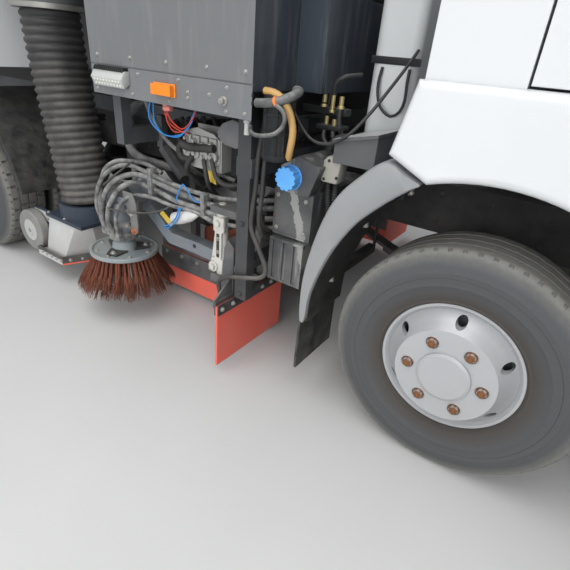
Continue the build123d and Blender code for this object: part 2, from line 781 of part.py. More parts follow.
def make_grille_panel():
    """Dark grille set into the nose: a frame with four bars."""
    panel = block(cab_nose_x - 30 + seat_gap, cab_nose_x - 4, -grille_half_width + 1, grille_half_width - 1,
                  grille_low_z + 1, grille_high_z - 1)
    panel -= block(cab_nose_x - 20, cab_nose_x + 5, -grille_half_width + 30, grille_half_width - 30,
                   grille_low_z + 30, grille_high_z - 30)
    rows = 5
    pitch = (grille_high_z - grille_low_z - 60) / rows
    for row in range(rows):
        z = grille_low_z + 30 + pitch * row
        panel += block(cab_nose_x - 24, cab_nose_x - 6, -grille_half_width + 20, grille_half_width - 20,
                       z + pitch * 0.3, z + pitch * 0.75)
    slab = cab_layer(2)
    return panel & slab


def make_cab_door(side):
    """One door: panel with its window cut."""
    wall = cab_layer(0) - cab_layer(cab_wall)
    door = wall & cab_prism(door_outline, 0, side)
    door -= cab_prism(door_window, 0, side)
    for z in door_hinge_heights:
        door += door_hinge_leaf(side, z, -30)
        door -= rod_z(door_hinge_x, side * door_hinge_y, door_pin_radius + running_clearance, z - 2, z + 33)
    face = side * cab_half_width
    handle_y = side * (cab_half_width + 14)
    return door + block(40, 230, min(face, handle_y), max(face, handle_y), 1470, 1500)


def door_hinge_leaf(side, z, reach):
    """Half a door hinge: a knuckle on the hinge axis, a bridge and a leaf on the panel's face."""
    face = side * (cab_half_width - 1)
    bridge = side * (door_hinge_y - 6)
    out = side * (door_hinge_y + 6)
    end = door_hinge_x + reach
    seat = door_hinge_x + (12 if reach > 0 else -12)
    leaf = block(seat, end, face, out, z, z + 30) + block(door_hinge_x, end, bridge, out, z, z + 30)
    return leaf + rod_z(door_hinge_x, side * door_hinge_y, 10, z, z + 30)


def make_door_glass(side):
    """The pane in one door."""
    sheet = cab_layer(glass_inset) - cab_layer(glass_inset + glass_thickness)
    return sheet & cab_prism(door_window, 0, side)


def make_cab_fenders():
    """Wide wing over each front wheel, carried by the cab's side."""
    arch_rear_x = -200
    arch_rear_z = tyre_radius + sqrt(arch_radius ** 2 - arch_rear_x ** 2)
    arch_front_x = 590
    arch_front_z = bumper_top_z + moving_gap + 4
    top_z = belt_z - moving_gap
    lower_end = sqrt(arch_radius ** 2 - (arch_front_z - tyre_radius) ** 2)
    edges = Polyline((lower_end, arch_front_z), (arch_front_x + 12, arch_front_z), (arch_front_x + 12, 893),
                     (468, top_z), (cab_back_x - 2, top_z), (-330, 1070), (arch_rear_x, arch_rear_z))
    arc = ThreePointArc((arch_rear_x, arch_rear_z), (0, tyre_radius + arch_radius), (lower_end, arch_front_z))
    face = make_face(Curve([*edges.edges(), *arc.edges()]))
    y0 = cab_half_width + seat_gap
    y1 = cab_half_width + fender_proud
    wing = side_extrude(face, y0, y1)
    outer_edges = wing.faces().sort_by(Axis.Y)[-1].edges()
    wing = fillet(outer_edges, 24)
    lip = rod_y(0, tyre_radius, arch_radius + 14, cab_half_width - 130, y0 + 5) - rod_y(
        0, tyre_radius, arch_radius, cab_half_width - 140, y0 + 10)
    lip &= block(arch_rear_x, lower_end - 40, 0, 2000, tyre_radius + 350, cab_floor_z - 2)
    lip -= cab_layer(0)
    wing += lip
    return both_sides(wing)


def make_cab_interior():
    """Two seats on boxes and the dashboard."""
    pieces = []
    for y in (-480, 480):
        base = block(60, 520, y - 200, y + 200, cab_floor_z + cab_wall + seat_gap, 1420)
        cushion = block(40, 560, y - 240, y + 240, 1420, 1540)
        back = side_plate([(30, 1500), (130, 1500), (60, 2120), (-40, 2120)], y - 235, y + 235)
        pieces.append(base + cushion + back)
    dash = [(820, 1420), (700, 1480), (700, 1570), (1040, 1600), (1120, 1420)]
    pieces.append(side_plate(dash, -cab_half_width + cab_wall + 60, cab_half_width - cab_wall - 60)
                  + block(840, 960, -300, 300, cab_floor_z + 22 + seat_gap, 1440) + steering_column())
    return joined(pieces)


def steering_column():
    """The column from the steering wheel's hub down into the dashboard."""
    length = 170
    column = Pos(0, 0, -20 - seat_gap - length / 2) * Cylinder(24, length)
    return Pos(*wheel_centre) * Rot(0, wheel_tilt - 90, 0) * column


def make_steering_wheel():
    """Rim, three spokes and hub on its column."""
    ring = Torus(215, 15)
    hub = Cylinder(45, 40)
    wheel = ring + hub
    for turn in (90, 210, 330):
        wheel += Rot(0, 0, turn) * Pos(120, 0, 0) * Box(200, 26, 12)
    return Pos(*wheel_centre) * Rot(0, wheel_tilt - 90, 0) * wheel


def make_mirrors():
    """A tall mirror head on two arms at each front pillar."""
    head = block(1070, 1140, 1120, 1300, 1640, 2080)
    head = fillet(head.edges().filter_by(Axis.Z), 20)
    arms = block(1020, 1090, 1000, 1140, 1990, 2014) + block(1020, 1090, 1000, 1140, 1700, 1724)
    foot = block(1020, 1050, 1000, 1060, 1690, 2024)
    one = head + arms + foot
    one -= cab_layer(0)
    return both_sides(one)


def make_roof_beacons():
    """Two round beacons on a low bar."""
    bar = block(380, 480, -640, 640, cab_roof_z + 30, cab_roof_z + 60)
    for y in (-560, 560):
        bar += rod_z(430, y, 70, cab_roof_z + 60, cab_roof_z + 190)
        bar += block(400, 460, y - 30, y + 30, cab_roof_z - 20, cab_roof_z + 32)
    return bar - cab_layer(0)


# Pieces behind the cab
def make_front_mudguards():
    """Curved guard behind each front wheel with its wide outer lip."""
    ring = rod_y(0, tyre_radius, guard_radius + guard_wall, guard_inner_y, guard_outer_y) - rod_y(
        0, tyre_radius, guard_radius, guard_inner_y - 5, guard_outer_y + 5)
    keep = side_plate([(0, tyre_radius), (-900, 388), (-900, 1400), (-285, 1400), (-250, 900)],
                      guard_inner_y - 10, guard_outer_y + 10)
    guard = ring & keep
    lip_points = [(-572, guard_low_z), (-575, 570), (-545, 740), (-492, 890), (-335, 1062), (-322, 1040)]
    lip_points += [(-400, 860), (-478, 690), (-533, 520), (-542, guard_low_z)]
    lip = side_plate(lip_points, guard_outer_y - 16, guard_outer_y)
    lip -= rod_y(0, tyre_radius, guard_radius, guard_outer_y - 20, guard_outer_y + 5)
    stay = block(-600, -guard_radius, guard_inner_y, guard_inner_y + 40, 470, 510)
    stay += block(-600, -562, rail_outer_y + seat_gap, guard_inner_y + 40, 470, 510)
    stay += block(-600, -562, rail_outer_y + seat_gap, rail_outer_y + 14, 470, rail_top_z - 60)
    stay -= rod_y(0, tyre_radius, guard_radius + 4, 0, 2000)
    return both_sides(guard + lip + stay)


def make_mudflaps():
    """Hanging flaps behind the front and rear wheels."""
    front = block(-572, -562, guard_inner_y + 8, guard_outer_y - 6, flap_bottom_z,
                  guard_low_z - seat_gap)
    rear_x = rear_axle_x - 620
    rear = block(rear_x - 8, rear_x, 640, body_half_width - 10, 220, 556 - seat_gap)
    return joined([front, other_side(front), rear, other_side(rear)])


def make_rear_mudguards():
    """Guards over the twin rear wheels, on stays from the rails."""
    inner = rear_inner_y - tyre_half_width - 15
    outer = body_half_width
    radius = rear_guard_radius
    ring = rod_y(rear_axle_x, tyre_radius, radius + guard_wall, inner, outer) - rod_y(
        rear_axle_x, tyre_radius, radius, inner - 5, outer + 5)
    cx = rear_axle_x
    corners = [(cx, tyre_radius + 30), (cx + 900, 470), (cx + 900, 1300), (cx - 900, 1300), (cx - 900, 540)]
    keep = side_plate(corners, inner - 10, outer + 10)
    guard = ring & keep
    lip = rod_y(cx, tyre_radius, radius + guard_wall, outer - 14, outer) - rod_y(
        cx, tyre_radius, radius - 30, outer - 20, outer + 5)
    guard += lip & keep
    stay = block(cx + 350, cx + 390, rail_outer_y + seat_gap, inner + 20, 800, 840)
    stay += block(cx - 390, cx - 350, rail_outer_y + seat_gap, inner + 20, 800, 840)
    stay -= rod_y(cx, tyre_radius, radius, 0, 2000)
    bracket = block(cx - 628, cx - radius + 20, 640, body_half_width - 20, 556, 566)
    bracket -= rod_y(cx, tyre_radius, radius + 2, 0, 2000)
    return both_sides(guard + stay + bracket)


def make_side_tanks():
    """A ribbed plastic tank behind each front wheel, with its raised filler box."""
    x0 = tank_rear_x
    x1 = tank_front_x
    lower = block(x0, x1, tank_inner_y, tank_outer_y, 460, 650)
    for x in (x0 + 25, x0 + 75, x0 + 125):
        lower -= block(x - 8, x + 8, tank_outer_y - 8, tank_outer_y + 10, 470, 640)
    upper = block(x0, x1 + 15, tank_inner_y, tank_outer_y - 15, 662, 850)
    neck = block(x0 + 10, x1, tank_inner_y + 40, tank_outer_y - 40, 648, 664)
    filler = side_plate([(x0 + 30, 846), (x1, 846), (x1 + 40, 960), (x0 + 100, 985), (x0 + 30, 940)],
                        tank_outer_y - 200, tank_outer_y)
    strap = block(x0 + 60, x0 + 100, rail_outer_y + seat_gap, tank_inner_y + 2, 700, 760)
    strap += block(x0 + 60, x0 + 100, rail_outer_y + seat_gap, tank_inner_y + 2, 500, 560)
    strap += block(x0 + 60, x0 + 100, rail_outer_y + seat_gap, rail_outer_y + 40, 500, 760)
    return both_sides(lower + upper + neck + filler + strap)


def make_filler_caps():
    """Round ribbed caps on the filler boxes."""
    length = 42
    cap = Cylinder(cap_radius, length)
    for turn in range(cap_lobes):
        angle = 2 * pi * turn / cap_lobes
        cap -= Pos(cap_radius * cos(angle), cap_radius * sin(angle), 0) * Cylinder(5, length + 20)
    cap = Pos(tank_rear_x + 80, tank_outer_y + seat_gap + length / 2, 905) * Rot(90, 0, 0) * cap
    return both_sides(cap)


def make_cab_rear_tray():
    """Low covered tray behind the cab on each side, on an arm from the rail."""
    top = side_plate([(-575, 1052), (-575, 1064), (-410, 1102), (-410, 1090)], 742, 990)
    skirt = side_plate([(-570, 985), (-570, 1054), (-415, 1092), (-415, 985)], 750, 978)
    arm = block(-520, -470, rail_outer_y + seat_gap, rail_outer_y + 12, 760, 860)
    arm += block(-520, -470, rail_outer_y + seat_gap, 800, 848, 860)
    arm += block(-520, -470, 788, 800, 848, 990)
    return both_sides(top + skirt + arm)


def make_water_tank():
    """Wide white tank between cab and power pack, standing on a cross tray."""
    body = block(-600, -430, -720, 720, 1040, 1600)
    body = fillet(body.edges().filter_by(Axis.Z), 40)
    foot = block(-590, -440, -440, 440, rail_top_z + 26, 1045)
    neck = rod_z(-515, -300, 55, 1598, 1650)
    tray = block(-610, -420, -475, 475, rail_top_z + seat_gap, rail_top_z + 30)
    return body + foot + neck + tray


# Superstructure
def make_subframe():
    """Long members on the rails and what is bolted to them: cross members, outriggers, posts and hangers."""
    beam = block(hopper_hinge_x - 90, nose_front_x - 40, rail_outer_y - subframe_width, rail_outer_y,
                 rail_top_z + seat_gap, subframe_top_z)
    beam += hopper_hinge_block()
    one_side = [beam, front_outrigger(), rear_outrigger(), *swing_bearings(), lift_ram_barrel(), flap_frame(),
                *flap_frame_stays(), wide_brush_hanger()]
    reach = rail_outer_y - subframe_width - seat_gap
    across = [block(x - 35, x + 35, -reach, reach, subframe_top_z - 70, subframe_top_z)
              for x in (post_x, housing_rear_x + 50, hopper_step_x + 40)]
    return joined(one_side + [other_side(piece) for piece in one_side] + across)


def front_outrigger():
    """Left front outrigger: beam, lower stay and the long post that holds the brush arm's bearings."""
    inner = rail_outer_y + seat_gap
    outer = post_y + post_half
    frame = block(post_x - 35, post_x + 35, inner, outer, subframe_top_z - 70, subframe_top_z)
    frame += block(post_x - 30, post_x + 30, post_y - post_half, outer, pivot_low_z - 30,
                   housing_bottom_z - seat_gap)
    frame += block(post_x - 25, post_x + 25, inner, post_y, 500, 540)
    return frame + block(post_x - 25, post_x + 25, inner, inner + 14, 500, subframe_top_z - 10)


def rear_outrigger():
    """Left rear outrigger with its short post under the housing's flange."""
    x = housing_rear_x + 70
    outer = post_y + post_half
    frame = block(x - 25, x + 25, rail_outer_y + seat_gap, outer, subframe_top_z - 70, subframe_top_z)
    return frame + block(x - 25, x + 25, post_y - post_half, outer, subframe_top_z - 20,
                         housing_bottom_z - seat_gap)


def hopper_hinge_block():
    """Left hinge block on the long member, with the pin that carries the hopper's ear."""
    hook = rail_outer_y - subframe_width - 22
    pieces = block(hopper_hinge_x - 45, hopper_hinge_x + 45, hook - 20, hook + 24, rail_top_z + 1,
                   hopper_hinge_z + 45)
    return pieces + rod_y(hopper_hinge_x, hopper_hinge_z, hopper_pin_radius, hook - 62, hook - 18)


def swing_bearings():
    """Two lugs bolted to the left post that hold the brush arm's upright casting."""
    lugs = []
    for low in (pivot_low_z - 30, pivot_high_z):
        lug = block(pivot_x - 30, post_x + 20, pivot_y - 25, post_y - post_half - seat_gap, low, low + 30)
        lugs.append(lug - rod_z(pivot_x, pivot_y, pivot_pin_radius + running_clearance, low - 5, low + 40))
    return lugs


def lift_ram_barrel():
    """Upright barrel that lifts the left nozzle, on an arm from the long member."""
    barrel = rod_z(lift_ram_x, lift_ram_y, 34, 600, subframe_top_z)
    barrel += block(lift_ram_x - 30, lift_ram_x + 30, rail_outer_y + seat_gap, lift_ram_y, subframe_top_z - 60,
                    subframe_top_z - 1)
    return barrel - rod_z(lift_ram_x, lift_ram_y, lift_rod_radius + running_clearance, 590, lift_rod_top_z + 10)


def wide_brush_hanger():
    """Left hanger under the rail with the bearing of the wide brush's cross tube."""
    y = rail_outer_y + seat_gap
    plate = block(wide_pivot_x - 45, wide_pivot_x + 45, y, y + 16, wide_pivot_z - 45, rail_top_z - 10)
    return plate - rod_y(wide_pivot_x, wide_pivot_z, wide_tube_radius + running_clearance, y - 5, y + 30)


def flap_frame():
    """Left flap frame: long plate with its top flange, cross clamp and corner gusset."""
    clamp_x = front_flap_x - flap_thickness
    plate_y = side_flap_y - flap_thickness - seat_gap
    outer = flap_outer_y
    frame = block(side_flap_rear_x, clamp_x - 15, plate_y - 8, plate_y, 150, 300)
    frame += block(side_flap_rear_x, clamp_x - 15, plate_y - 62, plate_y, 292, 300)
    frame += block(clamp_x - 8, clamp_x - seat_gap, flap_stay_in_y - 6, outer, 296, 360)
    frame += block(clamp_x - 42, clamp_x - 2, flap_stay_in_y, flap_stay_out_y, 300, 330)
    corner = [(outer, 330), (outer, 360), (outer - 90, 430), (outer - 130, 430), (outer - 130, 360),
              (outer - 90, 330)]
    return frame + front_plate(corner, clamp_x - 14, clamp_x - seat_gap - 6)


def flap_frame_stays():
    """Two legs standing on the left flap frame, each bolted to an arm from the rail."""
    stays = []
    for x in (front_flap_x - flap_thickness - 100, side_flap_rear_x + 230):
        stays.append(block(x - 20, x + 20, flap_stay_in_y, flap_stay_out_y, 300 + seat_gap, rail_bottom_z + 40))
        stays.append(block(x - 20, x + 20, rail_outer_y + seat_gap, flap_stay_in_y - seat_gap, rail_bottom_z,
                           rail_bottom_z + 40))
    return stays


def make_rubber_flaps():
    """Red rubber flaps: one across, one along, on each side."""
    across = block(front_flap_x - flap_thickness, front_flap_x, side_flap_y - 70, flap_outer_y,
                   flap_ground_gap, 340)
    along = block(side_flap_rear_x, front_flap_x - flap_thickness - 2, side_flap_y - flap_thickness,
                  side_flap_y, flap_ground_gap, 260)
    return joined([across, along, other_side(across), other_side(along)])


def make_power_pack_housing():
    """Sheet housing over the sweep engine, open below, with louvred sides."""
    wall = housing_wall
    half = body_half_width
    body = block(housing_rear_x, housing_front_x, -half, half, housing_bottom_z, housing_top_z)
    nose = block(housing_front_x - 5, nose_front_x, -nose_half_width, nose_half_width, nose_bottom_z,
                 housing_top_z - 200)
    inner = block(housing_rear_x + wall, housing_front_x - wall, -half + wall, half - wall,
                  housing_bottom_z - 5, housing_top_z - wall)
    inner_nose = block(housing_front_x - wall - 5, nose_front_x - wall, -nose_half_width + wall,
                       nose_half_width - wall, nose_bottom_z - 5, housing_top_z - 200 - wall)
    shell = body + nose - inner - inner_nose
    for side in (-1, 1):
        edge = side * (half - wall - 85)
        wall_y = side * (half - 5)
        shell += block(housing_rear_x, housing_front_x, min(edge, wall_y), max(edge, wall_y), housing_bottom_z,
                       housing_bottom_z + 10)
        seam = side * (half - 4)
        outside = side * (half + 5)
        shell -= block(housing_rear_x - 5, housing_front_x + 5, min(seam, outside), max(seam, outside),
                       housing_bottom_z + 108, housing_bottom_z + 112)
    for row in range(louvres):
        z = housing_top_z - 830 + row * louvre_pitch
        for side in (-1, 1):
            y0 = side * (half - wall - 5)
            y1 = side * (half + 5)
            shell -= block(housing_rear_x + 180, housing_front_x - 180, min(y0, y1), max(y0, y1),
                           z, z + louvre_height)
        nose_z = z - 150
        shell -= block(nose_front_x - wall - 5, nose_front_x + 5, -nose_half_width + 300, nose_half_width - 300,
                       nose_z, nose_z + louvre_height)
    return shell


def make_sweep_engine():
    """The sweep engine's block on its two bearers, with the fan casing behind it."""
    x0 = housing_rear_x + 130
    x1 = housing_front_x - 160
    middle = (x0 + x1) / 2
    block_low_z = subframe_top_z + 50
    block_top_z = block_low_z + 630
    fan_z = housing_top_z - 580
    engine = block(x0, x1, -330, 330, block_low_z, block_top_z)
    for x in (x0 + 70, x1 - 90):
        engine += block(x - 30, x + 30, -420, 420, subframe_top_z + seat_gap, block_low_z + 20)
    engine += block(middle - 160, middle + 160, -150, 150, block_top_z - 40, fan_z - 100)
    return engine + rod_y(middle, fan_z, 330, -200, 200)


def make_hydraulic_block():
    """Valve block, filter canister, breather canister and their carrier plate, right side."""
    x0 = valve_middle_x - 105
    x1 = valve_middle_x + 105
    back = -valve_back_y
    low = 800
    valve = block(x0, x1, back - 100, back + 2, low + 32, low + 170)
    for row in range(4):
        spool_x = x0 + 30 + 50 * row
        valve += rod_y(spool_x, low + 100, 22, back - 125, back - 95)
    carrier = block(x0 - 20, x1 + 20, back - 2, back + 10, low, low + 200)
    carrier += block(x0 - 20, x1 + 20, back - 2, -rail_outer_y - seat_gap, low, low + 12)
    can_y = back + 30
    can_z = 560
    filter_can = rod_x(can_y, can_z, 48, x0 - 200, x0 + 20)
    filter_can += rod_x(can_y, can_z, 36, x0 + 20, x0 + 55)
    hanger = block(x0 + 10, x0 + 30, can_y - 12, can_y + 12, can_z, low - seat_gap)
    canister = rod_z(post_x - 80, back + 60, 62, subframe_top_z + seat_gap, subframe_top_z + 190)
    return joined([valve + carrier, filter_can + hanger, canister])


def make_inlet_ducts():
    """Fixed duct mouth above each suction hose, on an arm from the subframe."""
    x = hose_top[0]
    top = hopper_step_z - 6
    ring = rod_z(x, hose_y, hose_radius + 22, hose_top[1] + seat_gap, top)
    ring -= rod_z(x, hose_y, hose_radius - hose_wall, hose_top[1] - 5, top + 5)
    arm_z = hose_top[1] + 30
    arm = block(x - 30, x + 30, rail_outer_y - 60, hose_y - hose_radius - 8, arm_z, arm_z + 40)
    leg = block(x - 30, x + 30, rail_outer_y - 70, rail_outer_y - 20, subframe_top_z + seat_gap, arm_z + 40)
    return both_sides(ring + arm + leg)


def make_suction_hose():
    """Left suction hose: a wide tube that leans back as it rises."""
    foot = (hose_foot[0] + 6, hose_y, hose_foot[1] - 60)
    bend = (hose_bend[0], hose_y, hose_bend[1])
    top = (hose_top[0] - 3, hose_y, hose_top[1] + 60)
    path = FilletPolyline(foot, bend, top, radius=1800)
    start = Plane(origin=foot, z_dir=(bend[0] - foot[0], 0, bend[2] - foot[2]))
    tube = sweep(start * (Circle(hose_radius) - Circle(hose_radius - hose_wall)), path=path)
    reach = hose_radius + 300
    return tube & block(hose_foot[0] - reach, hose_foot[0] + reach, hose_y - reach, hose_y + reach,
                        hose_foot[1] + seat_gap, hose_top[1])


# Hopper
hopper_outline = [
    (hopper_front_x, hopper_step_z), (hopper_front_x, hopper_top_z - 60), (hopper_front_x - 80, hopper_top_z),
    (hopper_rear_top_x, hopper_top_z), (hopper_rear_bottom_x, hopper_floor_z),
    (hopper_step_x, hopper_floor_z), (hopper_step_x, hopper_step_z)]


def make_hopper_shell():
    """Tipping hopper: plate walls with ribs, open rear, two inlet holes and the door's hinge lugs."""
    outer = side_plate(hopper_outline, -body_half_width, body_half_width)
    inner = side_plate(drawn_in(hopper_outline, hopper_wall), -body_half_width + hopper_wall,
                       body_half_width - hopper_wall)
    top = hopper_top_z - 60
    low = hopper_floor_z + 40
    mouth = [(hopper_rear_top_x + 200, top), (hopper_rear_top_x - 200, top),
             (hopper_rear_bottom_x - 200, low), (hopper_rear_bottom_x + 200, low)]
    mouth_half = body_half_width - hopper_wall
    shell = outer - inner - side_plate(mouth, -mouth_half, mouth_half)
    lip = block(hopper_rear_top_x - hopper_lip, hopper_rear_top_x + 60, -body_half_width, body_half_width,
                hopper_top_z - hopper_wall, hopper_top_z)
    shell += lip
    for side in (-1, 1):
        shell -= rod_z(hose_top[0], side * hose_y, hose_radius - hose_wall, hopper_step_z - 5,
                       hopper_step_z + hopper_wall + 5)
        for row in range(hopper_ribs):
            x = hopper_hinge_x + row * hopper_rib_pitch
            y0 = side * (body_half_width - 5)
            y1 = side * (body_half_width + 18)
            shell += block(x - 25, x + 25, min(y0, y1), max(y0, y1), hopper_step_z + 40, hopper_top_z - 60)
        lug_y = side * door_lug_y
        shell += block(door_pin_x, hopper_rear_top_x + 5, lug_y - 10, lug_y + 10,
                       door_pin_z - 12, hopper_top_z - 5)
        shell += rod_y(door_pin_x, door_pin_z, door_boss_radius, lug_y - 10, lug_y + 10)
        pin_end = side * (door_lug_y - 30)
        shell += rod_y(door_pin_x, door_pin_z, 10, min(pin_end, lug_y), max(pin_end, lug_y))
    return shell


def make_hopper_underframe():
    """Runners, hinge ears and the cylinder's clevis, bolted under the hopper's floor."""
    top = hopper_floor_z - seat_gap
    ear = rail_outer_y - subframe_width - 64
    x = hopper_hinge_x
    low = hopper_hinge_z - 50
    ear_plate = side_plate([(x - 50, low), (x + 50, low), (x + 90, top), (x - 90, top)], ear - 18, ear + 18)
    ear_plate -= rod_y(x, hopper_hinge_z, hopper_pin_radius + running_clearance, ear - 20, ear + 20)
    runner = block(x + 110, hopper_step_x + 30, rail_outer_y - subframe_width + 5, rail_outer_y,
                   subframe_top_z + seat_gap, top)
    clevis = ram_eye_half + 16
    cheek = side_plate([(ram_eye_x - 45, ram_eye_z - 45), (ram_eye_x + 45, ram_eye_z - 45),
                        (ram_eye_x + 80, top), (ram_eye_x - 80, top)], clevis - 10, clevis + 10)
    return joined([both_sides(ear_plate), both_sides(runner), both_sides(cheek)])


def make_hopper_door():
    """Rear door: a ribbed plate hung from the top edge."""
    lean = (hopper_rear_top_x - hopper_rear_bottom_x) / (hopper_top_z - hopper_floor_z)
    top = door_pin_z - 22
    low = hopper_floor_z + 6
    gap = moving_gap

    def face_x(z):
        return hopper_rear_bottom_x + (z - hopper_floor_z) * lean - gap
    plate = side_plate([(face_x(low), low), (face_x(top), top), (face_x(top) - door_thickness, top),
                        (face_x(low) - door_thickness, low)], -body_half_width, body_half_width)
    for side in (-1, 1):
        ear = side * (door_lug_y - 21)
        lug = block(door_pin_x - 14, door_pin_x + 14, ear - 8, ear + 8, top - 20, door_pin_z + 14)
        plate += lug - rod_y(door_pin_x, door_pin_z, 10 + running_clearance, ear - 20, ear + 20)
    rib_low = low + 60
    rib_top = top - 60
    rib_back = door_thickness - 2
    rib_face = door_thickness + 22
    for y in (-720, -250, 250, 720):
        plate += side_plate([(face_x(rib_low) - rib_back, rib_low), (face_x(rib_top) - rib_back, rib_top),
                             (face_x(rib_top) - rib_face, rib_top), (face_x(rib_low) - rib_face, rib_low)],
                            y - 30, y + 30)
    return plate


# Tipping cylinder
def ram_frame():
    """Direction and length of the closed cylinder."""
    dx = ram_eye_x - ram_base_x
    dz = ram_eye_z - ram_base_z
    return hypot(dx, dz), degrees(atan2(dz, dx))


def make_ram_barrel():
    """Barrel with the eye that turns on the frame's pin."""
    length, tilt = ram_frame()
    eye = Rot(90, 0, 0) * Cylinder(48, 2 * ram_eye_half)
    barrel = Pos(65 + (length - 165) / 2, 0, 0) * Rot(0, 90, 0) * Cylinder(ram_barrel_radius, length - 165)
    barrel += Pos(35, 0, 0) * Box(70, 2 * ram_eye_half - 4, 60)
    bore_start = 95
    bore_length = length - bore_start
    bore = Pos(bore_start + bore_length / 2, 0, 0) * Rot(0, 90, 0) * Cylinder(
        ram_rod_radius + running_clearance, bore_length)
    pin_hole = Rot(90, 0, 0) * Cylinder(ram_pin_radius + running_clearance, 3 * ram_eye_half)
    return Pos(ram_base_x, 0, ram_base_z) * Rot(0, -tilt, 0) * (eye + barrel - bore - pin_hole)


def make_ram_rod():
    """Rod with its eye, which carries the pin between the hopper's ears."""
    length, tilt = ram_frame()
    start = 100
    rod = Pos(start + (length - start) / 2, 0, 0) * Rot(0, 90, 0) * Cylinder(ram_rod_radius, length - start)
    eye = Pos(length, 0, 0) * Rot(90, 0, 0) * Cylinder(42, 2 * ram_eye_half)
    return Pos(ram_base_x, 0, ram_base_z) * Rot(0, -tilt, 0) * (rod + eye)


# Sweep gear
def make_nozzle():
    """Left nozzle: flared shell with base flange, collar, tray and wheel bracket."""
    x0 = nozzle_rear_x
    x1 = nozzle_front_x
    y0 = nozzle_inner_y
    y1 = nozzle_outer_y
    z = nozzle_base_z
    plan = [(x0, y0), (x1, y0), (x1, y1 - 200), (x1 - 90, y1), (x0, y1)]
    base = plan_plate(plan, z, z + 30)
    hole = [(x0 + 68, y0 + 60), (x1 - 50, y0 + 60), (x1 - 50, y1 - 200), (x1 - 120, y1 - 50)]
    hole += [(x0 + 68, y1 - 50)]
    base_mouth = plan_plate(hole, z - 5, z + 35)
    foot = [(x0 + 45, y0 + 40), (x1 - 30, y0 + 40), (x1 - 30, y1 - 205), (x1 - 105, y1 - 30)]
    foot += [(x0 + 45, y1 - 30)]
    low_face = Pos(0, 0, z + 28) * make_face(Polyline(*foot, close=True))
    mouth = hose_radius + 16
    cx = hose_foot[0]
    square = [(cx - mouth, hose_y - mouth), (cx + mouth, hose_y - mouth), (cx + mouth, hose_y + mouth - 60),
              (cx + mouth - 60, hose_y + mouth), (cx - mouth, hose_y + mouth)]
    high_face = Pos(0, 0, 380) * make_face(Polyline(*square, close=True))
    shell = loft([low_face, high_face])
    inner_low = Pos(0, 0, z + 26) * make_face(Polyline(*hole, close=True))
    inner = mouth - 22
    inner_square = [(cx - inner, hose_y - inner), (cx + inner, hose_y - inner),
                    (cx + inner, hose_y + inner - 60), (cx + inner - 60, hose_y + inner),
                    (cx - inner, hose_y + inner)]
    inner_high = Pos(0, 0, 384) * make_face(Polyline(*inner_square, close=True))
    shell -= loft([inner_low, inner_high])
    shell += base - base_mouth
    collar = block(cx - mouth - 14, cx + mouth + 14, hose_y - mouth - 14, hose_y + mouth + 14, 372, 392)
    collar += rod_z(cx, hose_y, hose_radius + 16, 390, hose_foot[1])
    collar -= rod_z(cx, hose_y, hose_radius - hose_wall, 360, 510)
    shell += collar
    rear = caster_x - 30
    plates = None
    for y, front in ((caster_plate_y, cx - mouth + 20), (nozzle_inner_y + 20, cx - mouth + 20)):
        plate = block(rear, front, y, y + 16, caster_z + 60, caster_z + 130)
        plate += block(rear, rear + 60, y, y + 16, caster_z - 30, caster_z + 70)
        plate += block(x0 + 60, x0 + 100, y, y + 16, z + 20, caster_z + 70)
        plate -= rod_y(caster_x, caster_z, caster_shaft_radius + running_clearance, y - 5, y + 25)
        plates = plate if plates is None else plates + plate
    bracket = block(lift_ram_x - 25, lift_ram_x + 25, lift_ram_y - 20, nozzle_inner_y + 70, z + 4, z + 30)
    rod = rod_z(lift_ram_x, lift_ram_y, lift_rod_radius, z + 10, lift_rod_top_z)
    return shell + plates + bracket + rod


def make_nozzle_wheels():
    """Two solid wheels on one shaft behind the left nozzle."""
    inner_y = nozzle_inner_y + 20 + 16 + moving_gap + caster_half_width
    shaft_end = caster_y + caster_half_width + 6
    wheels = rod_y(caster_x, caster_z, caster_shaft_radius, nozzle_inner_y + 12, shaft_end)
    for y in (caster_y, inner_y):
        disc = rod_y(caster_x, caster_z, caster_radius, y - caster_half_width, y + caster_half_width)
        wheels += fillet(disc.edges().filter_by(GeomType.CIRCLE), 9)
    return wheels


def make_brush_pivot():
    """Left swing casting: an upright post on two pins, with a slotted cheek and the lift pin."""
    post = rod_z(pivot_x, pivot_y, 26, pivot_low_z + seat_gap, pivot_high_z - seat_gap)
    post += rod_z(pivot_x, pivot_y, pivot_pin_radius, pivot_low_z - 34, pivot_high_z + 34)
    cheek = side_plate([(pivot_x - 62, pivot_low_z + 5), (pivot_x + 12, pivot_low_z + 5),
                        (pivot_x + 22, pivot_high_z - 20), (pivot_x - 22, pivot_high_z - 20)],
                       pivot_y - 12, pivot_y + 12)
    pin = rod_y(lift_x, lift_z, 16, pivot_y - 110, pivot_y)
    return post + cheek + pin


